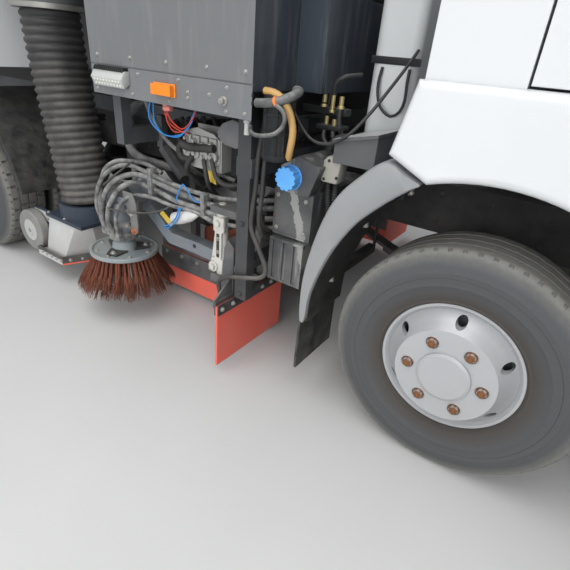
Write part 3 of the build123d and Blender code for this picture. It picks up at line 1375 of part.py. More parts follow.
def make_brush_arm():
    """Left arm: lower cranked tube, upper tube, head bracket and brush motor."""
    y = pivot_y - 70
    head_x = brush_x + 85
    reach = lift_x - head_x
    run = [(lift_x, lift_z), (lift_x - 0.346 * reach, 440), (lift_x - 0.692 * reach, 440), (head_x, 565)]
    arm = None
    for start, end in zip(run, run[1:]):
        piece = bar_side(start, end, y, arm_size, arm_size)
        arm = piece if arm is None else arm + piece
        arm += rod_y(end[0], end[1], arm_size / 2, y - arm_size / 2, y + arm_size / 2)
    arm += bar_side((lift_x, 600), (head_x, 700), y, 40, 40)
    arm += bar_side((head_x, 540), (head_x, 720), y, arm_size, 60)
    arm += block(brush_x + 40, brush_x + 60, y - 30, brush_y + 40, 600, 640)
    arm += block(brush_x - 60, head_x + 30, y - 30, brush_y + 50, 610, 640)
    arm += rod_z(brush_x, brush_y, 55, brush_disc_z + 56 + seat_gap, 625)
    arm += rod_z(brush_x, brush_y, 70, 560, 600)
    arm += rod_y(lift_x, lift_z, 34, y - 34, pivot_y - 30)
    arm += rod_y(lift_x, 600, 24, y - 24, y + 24)
    arm += rod_z(brush_x, brush_y, 14, brush_disc_z + 20, 410)
    return arm - rod_y(lift_x, lift_z, 16 + running_clearance, y - 60, pivot_y)


def make_channel_brush():
    """Left brush: bolted disc with hub, and its splayed bristle ring."""
    z = brush_disc_z
    r = brush_disc_radius
    disc = [(0, z - 12), (r - 8, z - 12), (r, z - 6), (r, z + 12), (r - 10, z + 12), (r - 16, z + 4),
            (62, z + 6), (50, z + 56), (0, z + 56)]
    plate = turned_z(disc, brush_x, brush_y)
    plate -= rod_z(brush_x, brush_y, 14 + running_clearance, z + 18, z + 80)
    bristle = [(96, z - 12 - seat_gap), (r - 14, z - 12 - seat_gap), (brush_tip_radius, brush_tip_z + 14),
               (brush_tip_radius - 8, brush_tip_z), (165, brush_tip_z - 4)]
    tuft = turned_z(bristle, brush_x, brush_y)
    return joined([plate, tuft])


# Wide brush under the frame
def make_wide_brush_arms():
    """Two trailing arms on one cross tube, with a stub for the brush at each end."""
    reach = wide_brush_half_length + 34
    pieces = rod_y(wide_pivot_x, wide_pivot_z, wide_tube_radius, -reach, reach)
    for side in (-1, 1):
        y = side * (wide_brush_half_length + 24)
        pieces += bar_side((wide_pivot_x, wide_pivot_z), (wide_brush_x, wide_brush_z), y, 20, 60)
        pieces += rod_y(wide_brush_x, wide_brush_z, 42, y - 10, y + 10)
        stub0 = y - side * 10
        stub1 = y - side * 60
        pieces += rod_y(wide_brush_x, wide_brush_z, 18, min(stub0, stub1), max(stub0, stub1))
    return pieces


def make_wide_brush():
    """Roller of bristles across the truck."""
    half = wide_brush_half_length
    roller = rod_y(wide_brush_x, wide_brush_z, wide_brush_radius, -half, half)
    for side in (-1, 1):
        y0 = side * (half + 5)
        y1 = side * (half - 60)
        roller -= rod_y(wide_brush_x, wide_brush_z, 18 + running_clearance, min(y0, y1), max(y0, y1))
    return roller


nodes = {
    "frame_rails": make_frame_rails(),
    "axles_and_springs": make_axles(),
    "engine_gearbox": make_engine_gearbox(),
    "front_bumper": make_front_bumper(),
    "lamps": make_lamps(),
    "front_mudguards": make_front_mudguards(),
    "rear_mudguards": make_rear_mudguards(),
    "mudflaps": make_mudflaps(),
    "side_tanks": make_side_tanks(),
    "filler_caps": make_filler_caps(),
    "cab_rear_tray": make_cab_rear_tray(),
    "water_tank": make_water_tank(),
    "sweeper_subframe": make_subframe(),
    "power_pack_housing": make_power_pack_housing(),
    "sweep_engine": make_sweep_engine(),
    "hydraulic_block": make_hydraulic_block(),
    "inlet_ducts": make_inlet_ducts(),
    "underrun_bar": make_underrun_bar(),
    "rubber_flaps": make_rubber_flaps(),
    "hopper_shell": make_hopper_shell(),
    "hopper_underframe": make_hopper_underframe(),
    "hopper_door": make_hopper_door(),
    "ram_barrel": make_ram_barrel(),
    "ram_rod": make_ram_rod(),
    "cab_shell": make_cab_shell(),
    "grille_panel": make_grille_panel(),
    "cab_fenders": make_cab_fenders(),
    "cab_glass": make_cab_glass(),
    "cab_interior": make_cab_interior(),
    "mirrors": make_mirrors(),
    "roof_beacons": make_roof_beacons(),
    "steering_wheel": make_steering_wheel(),
    "wide_brush_arms": make_wide_brush_arms(),
    "wide_brush": make_wide_brush(),
}

left_pieces = {
    "suction_hose": make_suction_hose(),
    "knuckle": make_knuckle(),
    "brush_pivot": make_brush_pivot(),
    "brush_arm": make_brush_arm(),
    "channel_brush": make_channel_brush(),
    "nozzle": make_nozzle(),
    "nozzle_wheels": make_nozzle_wheels(),
    "front_tyre": tyre(0, front_wheel_y),
    "rear_tyres": joined([tyre(rear_axle_x, rear_inner_y), tyre(rear_axle_x, rear_outer_y)]),
    "front_rim": front_rim(),
    "rear_rims": rear_rims(),
    "cab_door": make_cab_door(1),
    "door_glass": make_door_glass(1),
}
for name, shape in left_pieces.items():
    nodes[name + "_left"] = shape
    nodes[name + "_right"] = other_side(shape)

os.makedirs("parts", exist_ok=True)
for name, shape in nodes.items():
    export_step(Pos(row_shift_x, 0, 0) * shape, f"parts/{name}.step")
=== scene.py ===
from math import atan2, cos, pi, radians, sin, sqrt
from random import Random

import bmesh
import bpy
from mathutils import Matrix, Vector


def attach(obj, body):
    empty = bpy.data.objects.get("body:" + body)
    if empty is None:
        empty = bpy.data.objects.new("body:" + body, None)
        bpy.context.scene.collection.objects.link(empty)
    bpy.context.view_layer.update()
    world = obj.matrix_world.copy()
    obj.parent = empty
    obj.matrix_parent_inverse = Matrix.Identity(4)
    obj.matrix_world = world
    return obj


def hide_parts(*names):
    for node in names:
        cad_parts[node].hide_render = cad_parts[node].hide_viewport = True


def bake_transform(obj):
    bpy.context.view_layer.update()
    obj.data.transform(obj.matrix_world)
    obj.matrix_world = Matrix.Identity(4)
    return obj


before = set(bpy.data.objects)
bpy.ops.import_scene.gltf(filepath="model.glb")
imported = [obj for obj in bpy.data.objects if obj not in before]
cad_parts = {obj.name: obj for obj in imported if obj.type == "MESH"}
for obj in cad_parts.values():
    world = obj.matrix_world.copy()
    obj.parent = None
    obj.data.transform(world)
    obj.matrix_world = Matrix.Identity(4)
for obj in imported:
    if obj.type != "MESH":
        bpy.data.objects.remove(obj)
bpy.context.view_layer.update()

# Camera, where the photographer stood: beside the front wheel, looking back and down along the
# truck's right side. Place, turn and lens were fitted to the wheel's ellipse, its nuts and the
# truck's long edges.
eye = Vector((1.8576, -2.3605, 1.3167))
to_the_right = Vector((0.81878, 0.56896, 0.0767))
downwards = Vector((0.32502, -0.34927, -0.87885))
ahead = Vector((-0.47324, 0.74451, -0.4709))
lens = bpy.data.cameras.new("photo_camera")
lens.sensor_width = 36
lens.lens = 27.697
lens.clip_end = 120
camera = bpy.data.objects.new("photo_camera", lens)
turn = Matrix((to_the_right, -downwards, -ahead)).transposed().to_4x4()
camera.matrix_world = Matrix.Translation(eye) @ turn
bpy.context.scene.collection.objects.link(camera)
bpy.context.scene.camera = camera

# Floor and light: a plain pale floor under the soft, even light of an overcast yard, with one wide
# lamp overhead for the shadow under the truck. What the camera sees behind it all is plain pale grey.
bpy.context.scene.view_settings.view_transform = "Standard"
floor_mesh = bpy.data.meshes.new("floor")
floor_shape = bmesh.new()
bmesh.ops.create_grid(floor_shape, x_segments=1, y_segments=1, size=40)
bmesh.ops.translate(floor_shape, verts=floor_shape.verts, vec=(0, 0, -0.002))
floor_shape.to_mesh(floor_mesh)
floor_shape.free()
floor = bpy.data.objects.new("floor", floor_mesh)
bpy.context.scene.collection.objects.link(floor)
concrete = bpy.data.materials.new("pale_floor")
concrete.use_nodes = True
slab = concrete.node_tree
slab_shader = slab.nodes["Principled BSDF"]
slab_shader.inputs["Roughness"].default_value = 0.85
slab_place = slab.nodes.new("ShaderNodeTexCoord")
slab_noise = slab.nodes.new("ShaderNodeTexNoise")
slab_noise.inputs["Scale"].default_value = 1.4
slab_noise.inputs["Detail"].default_value = 8
slab_ramp = slab.nodes.new("ShaderNodeValToRGB")
slab_ramp.color_ramp.elements[0].color = (0.50, 0.50, 0.49, 1)
slab_ramp.color_ramp.elements[1].color = (0.57, 0.57, 0.56, 1)
slab.links.new(slab_place.outputs["Object"], slab_noise.inputs["Vector"])
slab.links.new(slab_noise.outputs["Fac"], slab_ramp.inputs["Fac"])
slab.links.new(slab_ramp.outputs["Color"], slab_shader.inputs["Base Color"])
floor_mesh.materials.append(concrete)

sky = bpy.data.worlds.new("overcast")
bpy.context.scene.world = sky
sky.use_nodes = True
air = sky.node_tree
air.nodes.clear()
sky_light = air.nodes.new("ShaderNodeBackground")
sky_light.inputs["Color"].default_value = (0.93, 0.96, 1.0, 1)
sky_light.inputs["Strength"].default_value = 0.55
sky_seen = air.nodes.new("ShaderNodeBackground")
sky_seen.inputs["Color"].default_value = (0.86, 0.87, 0.88, 1)
sky_seen.inputs["Strength"].default_value = 1.0
ray = air.nodes.new("ShaderNodeLightPath")
sky_mix = air.nodes.new("ShaderNodeMixShader")
sky_out = air.nodes.new("ShaderNodeOutputWorld")
air.links.new(ray.outputs["Is Camera Ray"], sky_mix.inputs["Fac"])
air.links.new(sky_light.outputs["Background"], sky_mix.inputs[1])
air.links.new(sky_seen.outputs["Background"], sky_mix.inputs[2])
air.links.new(sky_mix.outputs["Shader"], sky_out.inputs["Surface"])
for lamp_name, place, aim, size, watts in (
        ("overhead_lamp", (0.5, -3.0, 6.5), (0, -0.6, 0.6), 6.0, 300),
        ("side_lamp", (4.5, -6.5, 3.5), (0, -0.8, 0.8), 4.0, 115),
        ("low_lamp", (1.1, -5.8, 1.5), (0.2, -1.0, 0.45), 2.4, 125),
        ("far_side_lamp", (-3.0, 7.0, 4.5), (-0.5, 0.5, 1.0), 5.0, 160)):
    lamp_data = bpy.data.lights.new(lamp_name, "AREA")
    lamp_data.size = size
    lamp_data.energy = watts
    lamp = bpy.data.objects.new(lamp_name, lamp_data)
    lamp.location = place
    lamp.rotation_euler = (Vector(aim) - Vector(place)).to_track_quat("-Z", "Y").to_euler()
    lamp.visible_glossy = lamp_name != "low_lamp"
    bpy.context.scene.collection.objects.link(lamp)

# Chassis: pressed and welded steel in black paint, which road dust has turned grey low down.
# The finishes of the whole truck share three effects, so they are made here: dust that settles
# low and on upward faces, paint rubbed off along edges, and a fine moulded or sprayed grain.


def new_group(name, inputs, outputs):
    """An empty shader group with named sockets; inputs have values too."""
    group = bpy.data.node_groups.new(name, "ShaderNodeTree")
    for label, kind, value in inputs:
        socket = group.interface.new_socket(label, in_out="INPUT", socket_type="NodeSocket" + kind)
        socket.default_value = value
    for label, kind in outputs:
        group.interface.new_socket(label, in_out="OUTPUT", socket_type="NodeSocket" + kind)
    return group, group.nodes.new("NodeGroupInput"), group.nodes.new("NodeGroupOutput")


def sum_node(tree, operation, first, second, third=None, clamp=False):
    """A maths node fed by sockets or plain numbers; gives its output socket."""
    node = tree.nodes.new("ShaderNodeMath")
    node.operation = operation
    node.use_clamp = clamp
    for place, value in enumerate((first, second, third)):
        if value is None:
            continue
        if isinstance(value, (int, float)):
            node.inputs[place].default_value = value
        else:
            tree.links.new(value, node.inputs[place])
    return node.outputs[0]


def noise_of(tree, vector, scale, detail=4.0, rough=0.6):
    """A noise texture's factor on the given coordinates."""
    node = tree.nodes.new("ShaderNodeTexNoise")
    node.inputs["Scale"].default_value = scale
    node.inputs["Detail"].default_value = detail
    node.inputs["Roughness"].default_value = rough
    tree.links.new(vector, node.inputs["Vector"])
    return node.outputs["Fac"]


def mix_of(tree, amount, under, over):
    """A colour mix; gives its output socket."""
    node = tree.nodes.new("ShaderNodeMix")
    node.data_type = "RGBA"
    # a Mix node keeps float, vector and colour sockets under like names: the colour ones are 6 and 7
    for index, value in ((0, amount), (6, under), (7, over)):
        if isinstance(value, (int, float)):
            node.inputs[index].default_value = value
        elif isinstance(value, tuple):
            node.inputs[index].default_value = (*value[:3], 1)
        else:
            tree.links.new(value, node.inputs[index])
    return node.outputs[2]


def axes_of(tree, vector):
    """The X, Y and Z sockets of a vector socket."""
    node = tree.nodes.new("ShaderNodeSeparateXYZ")
    tree.links.new(vector, node.inputs["Vector"])
    return node.outputs


def bump_of(tree, relief, strength, normal=None):
    """A bump 1.5 millimetres high; gives its normal socket."""
    node = tree.nodes.new("ShaderNodeBump")
    node.inputs["Strength"].default_value = strength
    node.inputs["Distance"].default_value = 0.0015
    tree.links.new(relief, node.inputs["Height"])
    if normal is not None:
        tree.links.new(normal, node.inputs["Normal"])
    return node.outputs["Normal"]


dust_group, dust_in, dust_out = new_group(
    "road_dust", [("Amount", "Float", 0.5), ("Low", "Float", 1.2), ("Scale", "Float", 6.0)],
    [("Mask", "Float"), ("Height", "Float")])
coords = dust_group.nodes.new("ShaderNodeTexCoord")
height = axes_of(dust_group, coords.outputs["Object"])["Z"]
facing = axes_of(dust_group, coords.outputs["Normal"])["Z"]
nearness = sum_node(dust_group, "DIVIDE", height, dust_in.outputs["Low"])
nearness = sum_node(dust_group, "SUBTRACT", 1.0, nearness, clamp=True)
upward = sum_node(dust_group, "MULTIPLY", facing, 0.45, clamp=True)
blotch_noise = dust_group.nodes.new("ShaderNodeTexNoise")
blotch_noise.inputs["Detail"].default_value = 7
blotch_noise.inputs["Roughness"].default_value = 0.65
dust_group.links.new(coords.outputs["Object"], blotch_noise.inputs["Vector"])
dust_group.links.new(dust_in.outputs["Scale"], blotch_noise.inputs["Scale"])
blotch = sum_node(dust_group, "MULTIPLY_ADD", blotch_noise.outputs["Fac"], 2.6, -0.85, clamp=True)
specks = noise_of(dust_group, coords.outputs["Object"], 130.0, 3.0, 0.8)
specks = sum_node(dust_group, "MULTIPLY_ADD", specks, 3.0, -1.25, clamp=True)
load_of_dust = sum_node(dust_group, "ADD", nearness, upward)
load_of_dust = sum_node(dust_group, "MULTIPLY", load_of_dust, dust_in.outputs["Amount"])
patchy = sum_node(dust_group, "MULTIPLY_ADD", blotch, 1.15, 0.06)
mask = sum_node(dust_group, "MULTIPLY", load_of_dust, patchy, clamp=True)
grit = sum_node(dust_group, "MULTIPLY", mask, specks)
mask = sum_node(dust_group, "MULTIPLY_ADD", grit, 0.35, mask, clamp=True)
dust_group.links.new(mask, dust_out.inputs["Mask"])
dust_group.links.new(grit, dust_out.inputs["Height"])

wear_group, wear_in, wear_out = new_group(
    "edge_wear", [("Width", "Float", 0.004), ("Amount", "Float", 0.5)],
    [("Mask", "Float"), ("Normal", "Vector")])
bevel = wear_group.nodes.new("ShaderNodeBevel")
bevel.samples = 4
wear_group.links.new(wear_in.outputs["Width"], bevel.inputs["Radius"])
surface = wear_group.nodes.new("ShaderNodeNewGeometry")
lean = wear_group.nodes.new("ShaderNodeVectorMath")
lean.operation = "DOT_PRODUCT"
wear_group.links.new(bevel.outputs["Normal"], lean.inputs[0])
wear_group.links.new(surface.outputs["Normal"], lean.inputs[1])
edge = sum_node(wear_group, "SUBTRACT", 1.0, lean.outputs["Value"], clamp=True)
edge = sum_node(wear_group, "MULTIPLY", edge, 7.0, clamp=True)
wear_coords = wear_group.nodes.new("ShaderNodeTexCoord")
chips = noise_of(wear_group, wear_coords.outputs["Object"], 38.0, 6.0, 0.7)
chips = sum_node(wear_group, "MULTIPLY_ADD", chips, 5.0, -2.2, clamp=True)
worn = sum_node(wear_group, "MULTIPLY", edge, chips)
worn = sum_node(wear_group, "MULTIPLY", worn, wear_in.outputs["Amount"], clamp=True)
wear_group.links.new(worn, wear_out.inputs["Mask"])
wear_group.links.new(bevel.outputs["Normal"], wear_out.inputs["Normal"])

grain_group, grain_in, grain_out = new_group("fine_grain", [("Scale", "Float", 420.0),
                                                            ("Depth", "Float", 0.3)], [("Height", "Float"),
                                                                                       ("Value", "Float")])
grain_coords = grain_group.nodes.new("ShaderNodeTexCoord")
grain_noise = grain_group.nodes.new("ShaderNodeTexNoise")
grain_noise.inputs["Detail"].default_value = 2
grain_group.links.new(grain_coords.outputs["Object"], grain_noise.inputs["Vector"])
grain_group.links.new(grain_in.outputs["Scale"], grain_noise.inputs["Scale"])
grain_height = sum_node(grain_group, "MULTIPLY", grain_noise.outputs["Fac"], grain_in.outputs["Depth"])
grain_group.links.new(grain_height, grain_out.inputs["Height"])
grain_group.links.new(grain_noise.outputs["Fac"], grain_out.inputs["Value"])


def use_group(tree, group, **values):
    """A group node with its inputs set; gives its output sockets."""
    node = tree.nodes.new("ShaderNodeGroup")
    node.node_tree = group
    for label, value in values.items():
        node.inputs[label].default_value = value
    return node.outputs


def weathered(name, colour, rough, metallic=0.0, dust=0.5, low=1.2, dust_scale=6.0, wear=0.0,
              wear_width=0.004, bare=(0.32, 0.31, 0.30), grain=0.25, grain_scale=420.0, coat=0.0, tint=0.06,
              dust_colour=(0.36, 0.33, 0.29)):
    """A finish with its own colour, shine, dust, edge wear and grain."""
    finish = bpy.data.materials.new(name)
    finish.use_nodes = True
    tree = finish.node_tree
    shader = tree.nodes["Principled BSDF"]
    shader.inputs["Coat Weight"].default_value = coat
    shader.inputs["Coat Roughness"].default_value = 0.12
    place = tree.nodes.new("ShaderNodeTexCoord")
    cloud = noise_of(tree, place.outputs["Object"], 2.3, 5.0, 0.6)
    darker = tuple(max(part * (1 - 2.2 * tint), 0) for part in colour)
    lighter = tuple(min(part * (1 + 1.6 * tint) + 0.2 * tint * part, 1) for part in colour)
    base = mix_of(tree, cloud, darker, lighter)
    dirt = use_group(tree, dust_group, Amount=dust, Low=low, Scale=dust_scale)
    rubbed = use_group(tree, wear_group, Width=wear_width, Amount=wear)
    fine = use_group(tree, grain_group, Scale=grain_scale, Depth=grain)
    base = mix_of(tree, rubbed["Mask"], base, bare)
    base = mix_of(tree, dirt["Mask"], base, dust_colour)
    tree.links.new(base, shader.inputs["Base Color"])
    dull = sum_node(tree, "MULTIPLY_ADD", dirt["Mask"], 0.9 - rough, rough, clamp=True)
    dull = sum_node(tree, "MULTIPLY_ADD", fine["Value"], 0.08, dull, clamp=True)
    tree.links.new(dull, shader.inputs["Roughness"])
    clean = sum_node(tree, "SUBTRACT", 1.0, dirt["Mask"], clamp=True)
    shine = sum_node(tree, "MULTIPLY_ADD", rubbed["Mask"], 0.7, metallic, clamp=True)
    tree.links.new(sum_node(tree, "MULTIPLY", shine, clean), shader.inputs["Metallic"])
    relief = sum_node(tree, "ADD", fine["Height"], dirt["Height"])
    tree.links.new(bump_of(tree, relief, 0.35, rubbed["Normal"]), shader.inputs["Normal"])
    return finish


def finish_node(finish, *names):
    """Puts a finish on CAD nodes."""
    for name in names:
        for piece_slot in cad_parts[name].material_slots:
            piece_slot.material = finish


chassis_black = weathered("chassis_paint", (0.014, 0.014, 0.016), 0.5, dust=0.4, low=1.2, wear=0.3,
                          dust_colour=(0.20, 0.185, 0.165))
finish_node(chassis_black, "frame_rails", "axles_and_springs", "underrun_bar")

# Wheels: steel discs in silver lacquer, each held by six plain nuts that have rusted to a copper brown.
# The tyres are ribbed in front and blocked at the rear. Heat and brake dust turn their rubber brown
# beside the rim, and the shoulder is scuffed grey where it rolls.
silver = weathered("silver_lacquer", (0.43, 0.44, 0.455), 0.34, metallic=0.35, dust=0.22, low=0.9, wear=0.25,
                   wear_width=0.003, bare=(0.20, 0.16, 0.13), grain=0.12, coat=0.15, tint=0.03)
finish_node(silver, "front_rim_left", "front_rim_right", "rear_rims_left", "rear_rims_right")
both_sides = (("left", 1), ("right", -1))
wheel_radius = 0.421
front_axle_x = 1.70
rear_axle_x = -1.32


def tyre_rubber(name, axle_x):
    """Tyre rubber whose colour follows the distance from the wheel's axis."""
    finish = bpy.data.materials.new(name)
    finish.use_nodes = True
    tree = finish.node_tree
    shader = tree.nodes["Principled BSDF"]
    place = tree.nodes.new("ShaderNodeTexCoord")
    centred = tree.nodes.new("ShaderNodeMapping")
    centred.inputs["Location"].default_value = (-axle_x, 0, -wheel_radius)
    tree.links.new(place.outputs["Object"], centred.inputs["Vector"])
    parts = axes_of(tree, centred.outputs["Vector"])
    square_x = sum_node(tree, "MULTIPLY", parts["X"], parts["X"])
    square = sum_node(tree, "MULTIPLY_ADD", parts["Z"], parts["Z"], square_x)
    radius = sum_node(tree, "SQRT", square, 0.0)
    wobble = noise_of(tree, place.outputs["Object"], 9.0, 6.0, 0.65)
    radius = sum_node(tree, "MULTIPLY_ADD", wobble, 0.014, radius)
    bead_radius = 0.230
    wall_height = 0.20
    up_the_wall = sum_node(tree, "MULTIPLY_ADD", radius, 1 / wall_height, -bead_radius / wall_height,
                           clamp=True)
    band = tree.nodes.new("ShaderNodeValToRGB")
    stops = band.color_ramp.elements
    stops[0].position, stops[0].color = 0.03, (0.050, 0.043, 0.038, 1)
    stops[1].position, stops[1].color = 0.99, (0.135, 0.131, 0.120, 1)
    for spot, colour in ((0.20, (0.058, 0.053, 0.049)), (0.36, (0.064, 0.065, 0.068)),
                         (0.74, (0.068, 0.070, 0.074)), (0.86, (0.100, 0.100, 0.096)),
                         (0.93, (0.150, 0.148, 0.137))):
        stop = stops.new(spot)
        stop.color = (*colour, 1)
    tree.links.new(up_the_wall, band.inputs["Fac"])
    scuff = noise_of(tree, place.outputs["Object"], 60.0, 6.0, 0.75)
    scuff = sum_node(tree, "MULTIPLY_ADD", scuff, 2.6, -1.05, clamp=True)
    shoulder_radius = 0.375
    shoulder_height = 0.05
    outer = sum_node(tree, "MULTIPLY_ADD", radius, 1 / shoulder_height, -shoulder_radius / shoulder_height,
                     clamp=True)
    scuffed = sum_node(tree, "MULTIPLY", scuff, outer)
    colour = mix_of(tree, sum_node(tree, "MULTIPLY", scuffed, 0.5), band.outputs["Color"],
                    (0.24, 0.235, 0.215))
    tree.links.new(colour, shader.inputs["Base Color"])
    tree.links.new(sum_node(tree, "MULTIPLY_ADD", scuff, 0.12, 0.70), shader.inputs["Roughness"])
    fine = noise_of(tree, place.outputs["Object"], 330.0, 3.0, 0.7)
    relief = sum_node(tree, "MULTIPLY_ADD", scuffed, 0.8, fine)
    tree.links.new(bump_of(tree, relief, 0.5), shader.inputs["Normal"])
    return finish


def finished_piece(name, shape, body, finish, sharp=32):
    """Turns a bmesh into a piece that rides on a body. When body is a tuple, its contents are not used and
    the piece stays loose.
    """
    mesh = bpy.data.meshes.new(name)
    for face in shape.faces:
        face.smooth = True
    shape.to_mesh(mesh)
    shape.free()
    mesh.set_sharp_from_angle(angle=radians(sharp))
    mesh.materials.append(finish)
    piece = bpy.data.objects.new(name, mesh)
    bpy.context.scene.collection.objects.link(piece)
    if isinstance(body, tuple):
        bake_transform(piece)
    else:
        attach(piece, body)
    return piece


def spin_outline(shape, spots, centre, axis, steps, closed=True):
    """Spins an outline once round an axis through a centre; weld closes the seam."""
    ring = [shape.verts.new(spot) for spot in spots]
    after = ring[1:] + ring[:1] if closed else ring[1:]
    line = [shape.edges.new(pair) for pair in zip(ring, after)]
    bmesh.ops.spin(shape, geom=ring + line, cent=centre, axis=axis, dvec=(0, 0, 0), angle=2 * pi, steps=steps,
                   use_merge=True, use_duplicate=False)


def weld(shape):
    """Merges points that lie on each other and turns the faces outward."""
    bmesh.ops.remove_doubles(shape, verts=shape.verts, dist=0.00002)
    bmesh.ops.recalc_face_normals(shape, faces=shape.faces)


# (radius, distance from the tyre's middle plane) from the bead to the tread's edge, in millimetres
tyre_wall = [(222.6, 83), (235.4, 87), (235.4, 101), (240, 106.5), (243.5, 109.5), (247, 109.5),
             (250, 108.6), (264, 114.6), (285, 121.4), (301, 125.4), (304, 127.4), (307, 127.4),
             (310, 126.6), (324, 128.4), (329.5, 128.8), (331, 127.4), (332.5, 128.8), (344, 128.4),
             (346, 129), (348.5, 128.9), (350.5, 127.8), (362, 126), (373, 123.6), (375.5, 121.6),
             (388, 118.2), (401, 113.2), (411, 107.6), (416.5, 102.2), (419.6, 97.6), (421, 93)]


def tyre_shape(axle_x, middle_y, blocks):
    """A tyre spun from its wall and tread, with its grooves, notches and blocks pressed in."""
    half = list(tyre_wall)
    tread, groove_floor, outer_groove = 420.8, 412.5, 52
    half += [(tread, outer_groove + 5), (groove_floor, outer_groove + 3.4)]
    half += [(groove_floor, outer_groove - 3.4), (tread, outer_groove - 5)]
    half += [(421, outer_groove - 14), (tread, outer_groove - 26), (421, outer_groove - 38)]
    half += [(tread, 5), (groove_floor, 3.4)]
    line = half + [(radius, -across) for radius, across in reversed(half)]
    shape = bmesh.new()
    steps = 180
    spots = [(radius / 1000, across / 1000, 0) for radius, across in line]
    spin_outline(shape, spots, (0, 0, 0), (0, 1, 0), steps)
    weld(shape)

    def column(face):
        middle = face.calc_center_median()
        return int((atan2(middle.z, middle.x) % (2 * pi)) / (2 * pi) * steps)

    def at(face):
        middle = face.calc_center_median()
        return sqrt(middle.x ** 2 + middle.z ** 2) * 1000, abs(middle.y) * 1000

    notches, cuts = [], []
    for face in shape.faces:
        radius, across = at(face)
        turn_number = column(face)
        on_shoulder = 411 < radius < 419.8 and across > 97
        on_tread = radius > 419.4 and across < 93
        if on_shoulder and turn_number % 3 == 0:
            notches.append(face)
        if blocks and on_tread and (turn_number + 2 * (across > outer_groove)) % 5 == 0:
            cuts.append(face)
    if notches:
        bmesh.ops.inset_individual(shape, faces=notches, thickness=0.0018, depth=-0.0045,
                                   use_even_offset=True)
    if cuts:
        bmesh.ops.inset_individual(shape, faces=cuts, thickness=0.0012, depth=-0.009, use_even_offset=True)
    for vert in shape.verts:
        around = atan2(vert.co.z, vert.co.x) / (2 * pi)
        if sqrt(vert.co.x ** 2 + vert.co.z ** 2) > 0.4 and abs(vert.co.y) < 0.062:
            zigzag = abs(((around * 45) % 1.0) * 2 - 1) - 0.5
            vert.co.y += zigzag * 0.0045
    bmesh.ops.translate(shape, verts=shape.verts, vec=(axle_x, middle_y, wheel_radius))
    return shape


front_rubber = tyre_rubber("front_tyre_rubber", front_axle_x)
rear_rubber = tyre_rubber("rear_tyre_rubber", rear_axle_x)
for side, sign in both_sides:
    tyre = finished_piece("front_tyre_ribbed_" + side, tyre_shape(front_axle_x, sign * 0.952, False),
                          "front_wheel_" + side, front_rubber)
    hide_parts("front_tyre_" + side)
    twin = tyre_shape(rear_axle_x, sign * 1.052, True)
    inner_mesh = bpy.data.meshes.new("inner_tyre")
    inner_shape = tyre_shape(rear_axle_x, sign * 0.774, True)
    inner_shape.to_mesh(inner_mesh)
    inner_shape.free()
    twin.from_mesh(inner_mesh)
    tyre = finished_piece("rear_tyres_blocked_" + side, twin, "rear_wheels_" + side, rear_rubber)
    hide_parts("rear_tyres_" + side)

# Wheel nuts: hexagons on a collar, with the threaded end of the stud standing out of each, left plain
# and rusted. Each sits in a shallow cup that is pressed into the disc.
rust = weathered("rusty_nut", (0.25, 0.105, 0.045), 0.7, metallic=0.45, dust=0.15, low=0.9, grain=0.9,
                 grain_scale=900, tint=0.22, dust_colour=(0.33, 0.22, 0.14))
nut_circle_radius = 0.1225
cup_profile = ((0.0205, -0.0012), (0.0212, 0.0010), (0.0236, 0.0010), (0.0250, -0.0012))
for side, sign in both_sides:
    nuts = bmesh.new()
    cups = bmesh.new()
    for turn_number in range(6):
        angle = turn_number * pi / 3
        x = front_axle_x + nut_circle_radius * cos(angle)
        z = wheel_radius + nut_circle_radius * sin(angle)
        for radius, near, far, sides, end in ((0.0192, 1.1020, 1.1050, 20, 0.0186),
                                              (0.0166, 1.1045, 1.1185, 6, 0.0150),
                                              (0.0085, 1.1180, 1.1225, 14, 0.0078)):
            seat = Matrix.Translation((x, sign * (near + far) / 2, z))
            turn = Matrix.Rotation(sign * -pi / 2, 4, "X") @ Matrix.Rotation(0.4 * turn_number, 4, "Z")
            bmesh.ops.create_cone(nuts, cap_ends=True, segments=sides, radius1=radius, radius2=end,
                                  depth=far - near, matrix=seat @ turn)
        middle = Vector((x, sign * 1.1072, z))
        spots = [middle + Vector((radius, sign * out, 0)) for radius, out in cup_profile]
        spin_outline(cups, spots, middle, (0, 1, 0), 28)
    finished_piece("wheel_nuts_" + side, nuts, "front_wheel_" + side, rust)
    weld(cups)
    finished_piece("nut_cups_" + side, cups, "front_wheel_" + side, silver)

# Running gear: forged knuckles, the engine with its gearbox and the shafts, all rough cast iron that
# carries oily dust. The tipping cylinder's barrel has the same dull finish.
cast_grey = weathered("cast_iron", (0.085, 0.088, 0.092), 0.62, metallic=0.25, dust=0.7, low=1.3, grain=0.9,
                      grain_scale=300, wear=0.3)
finish_node(cast_grey, "knuckle_left", "knuckle_right", "engine_gearbox", "ram_barrel")


def bolt_heads(name, spots, body, finish, sides=6):
    """Bolt heads on washers; each spot is (place, outward direction, radius)."""
    shape = bmesh.new()
    for place, outward, radius in spots:
        turn = Vector(outward).to_track_quat("Z", "Y").to_matrix().to_4x4()
        seat = Matrix.Translation(Vector(place)) @ turn
        for wide, low, high, count in ((1.5, -0.001, radius * 0.25, 18),
                                       (1.0, radius * 0.2, radius * 0.95, sides),
                                       (0.45, radius * 0.9, radius * 1.2, 10)):
            bmesh.ops.create_cone(shape, cap_ends=True, segments=count, radius1=radius * wide,
                                  radius2=radius * wide * 0.94, depth=high - low,
                                  matrix=seat @ Matrix.Translation((0, 0, (low + high) / 2)))
    finished_piece(name, shape, body, finish)


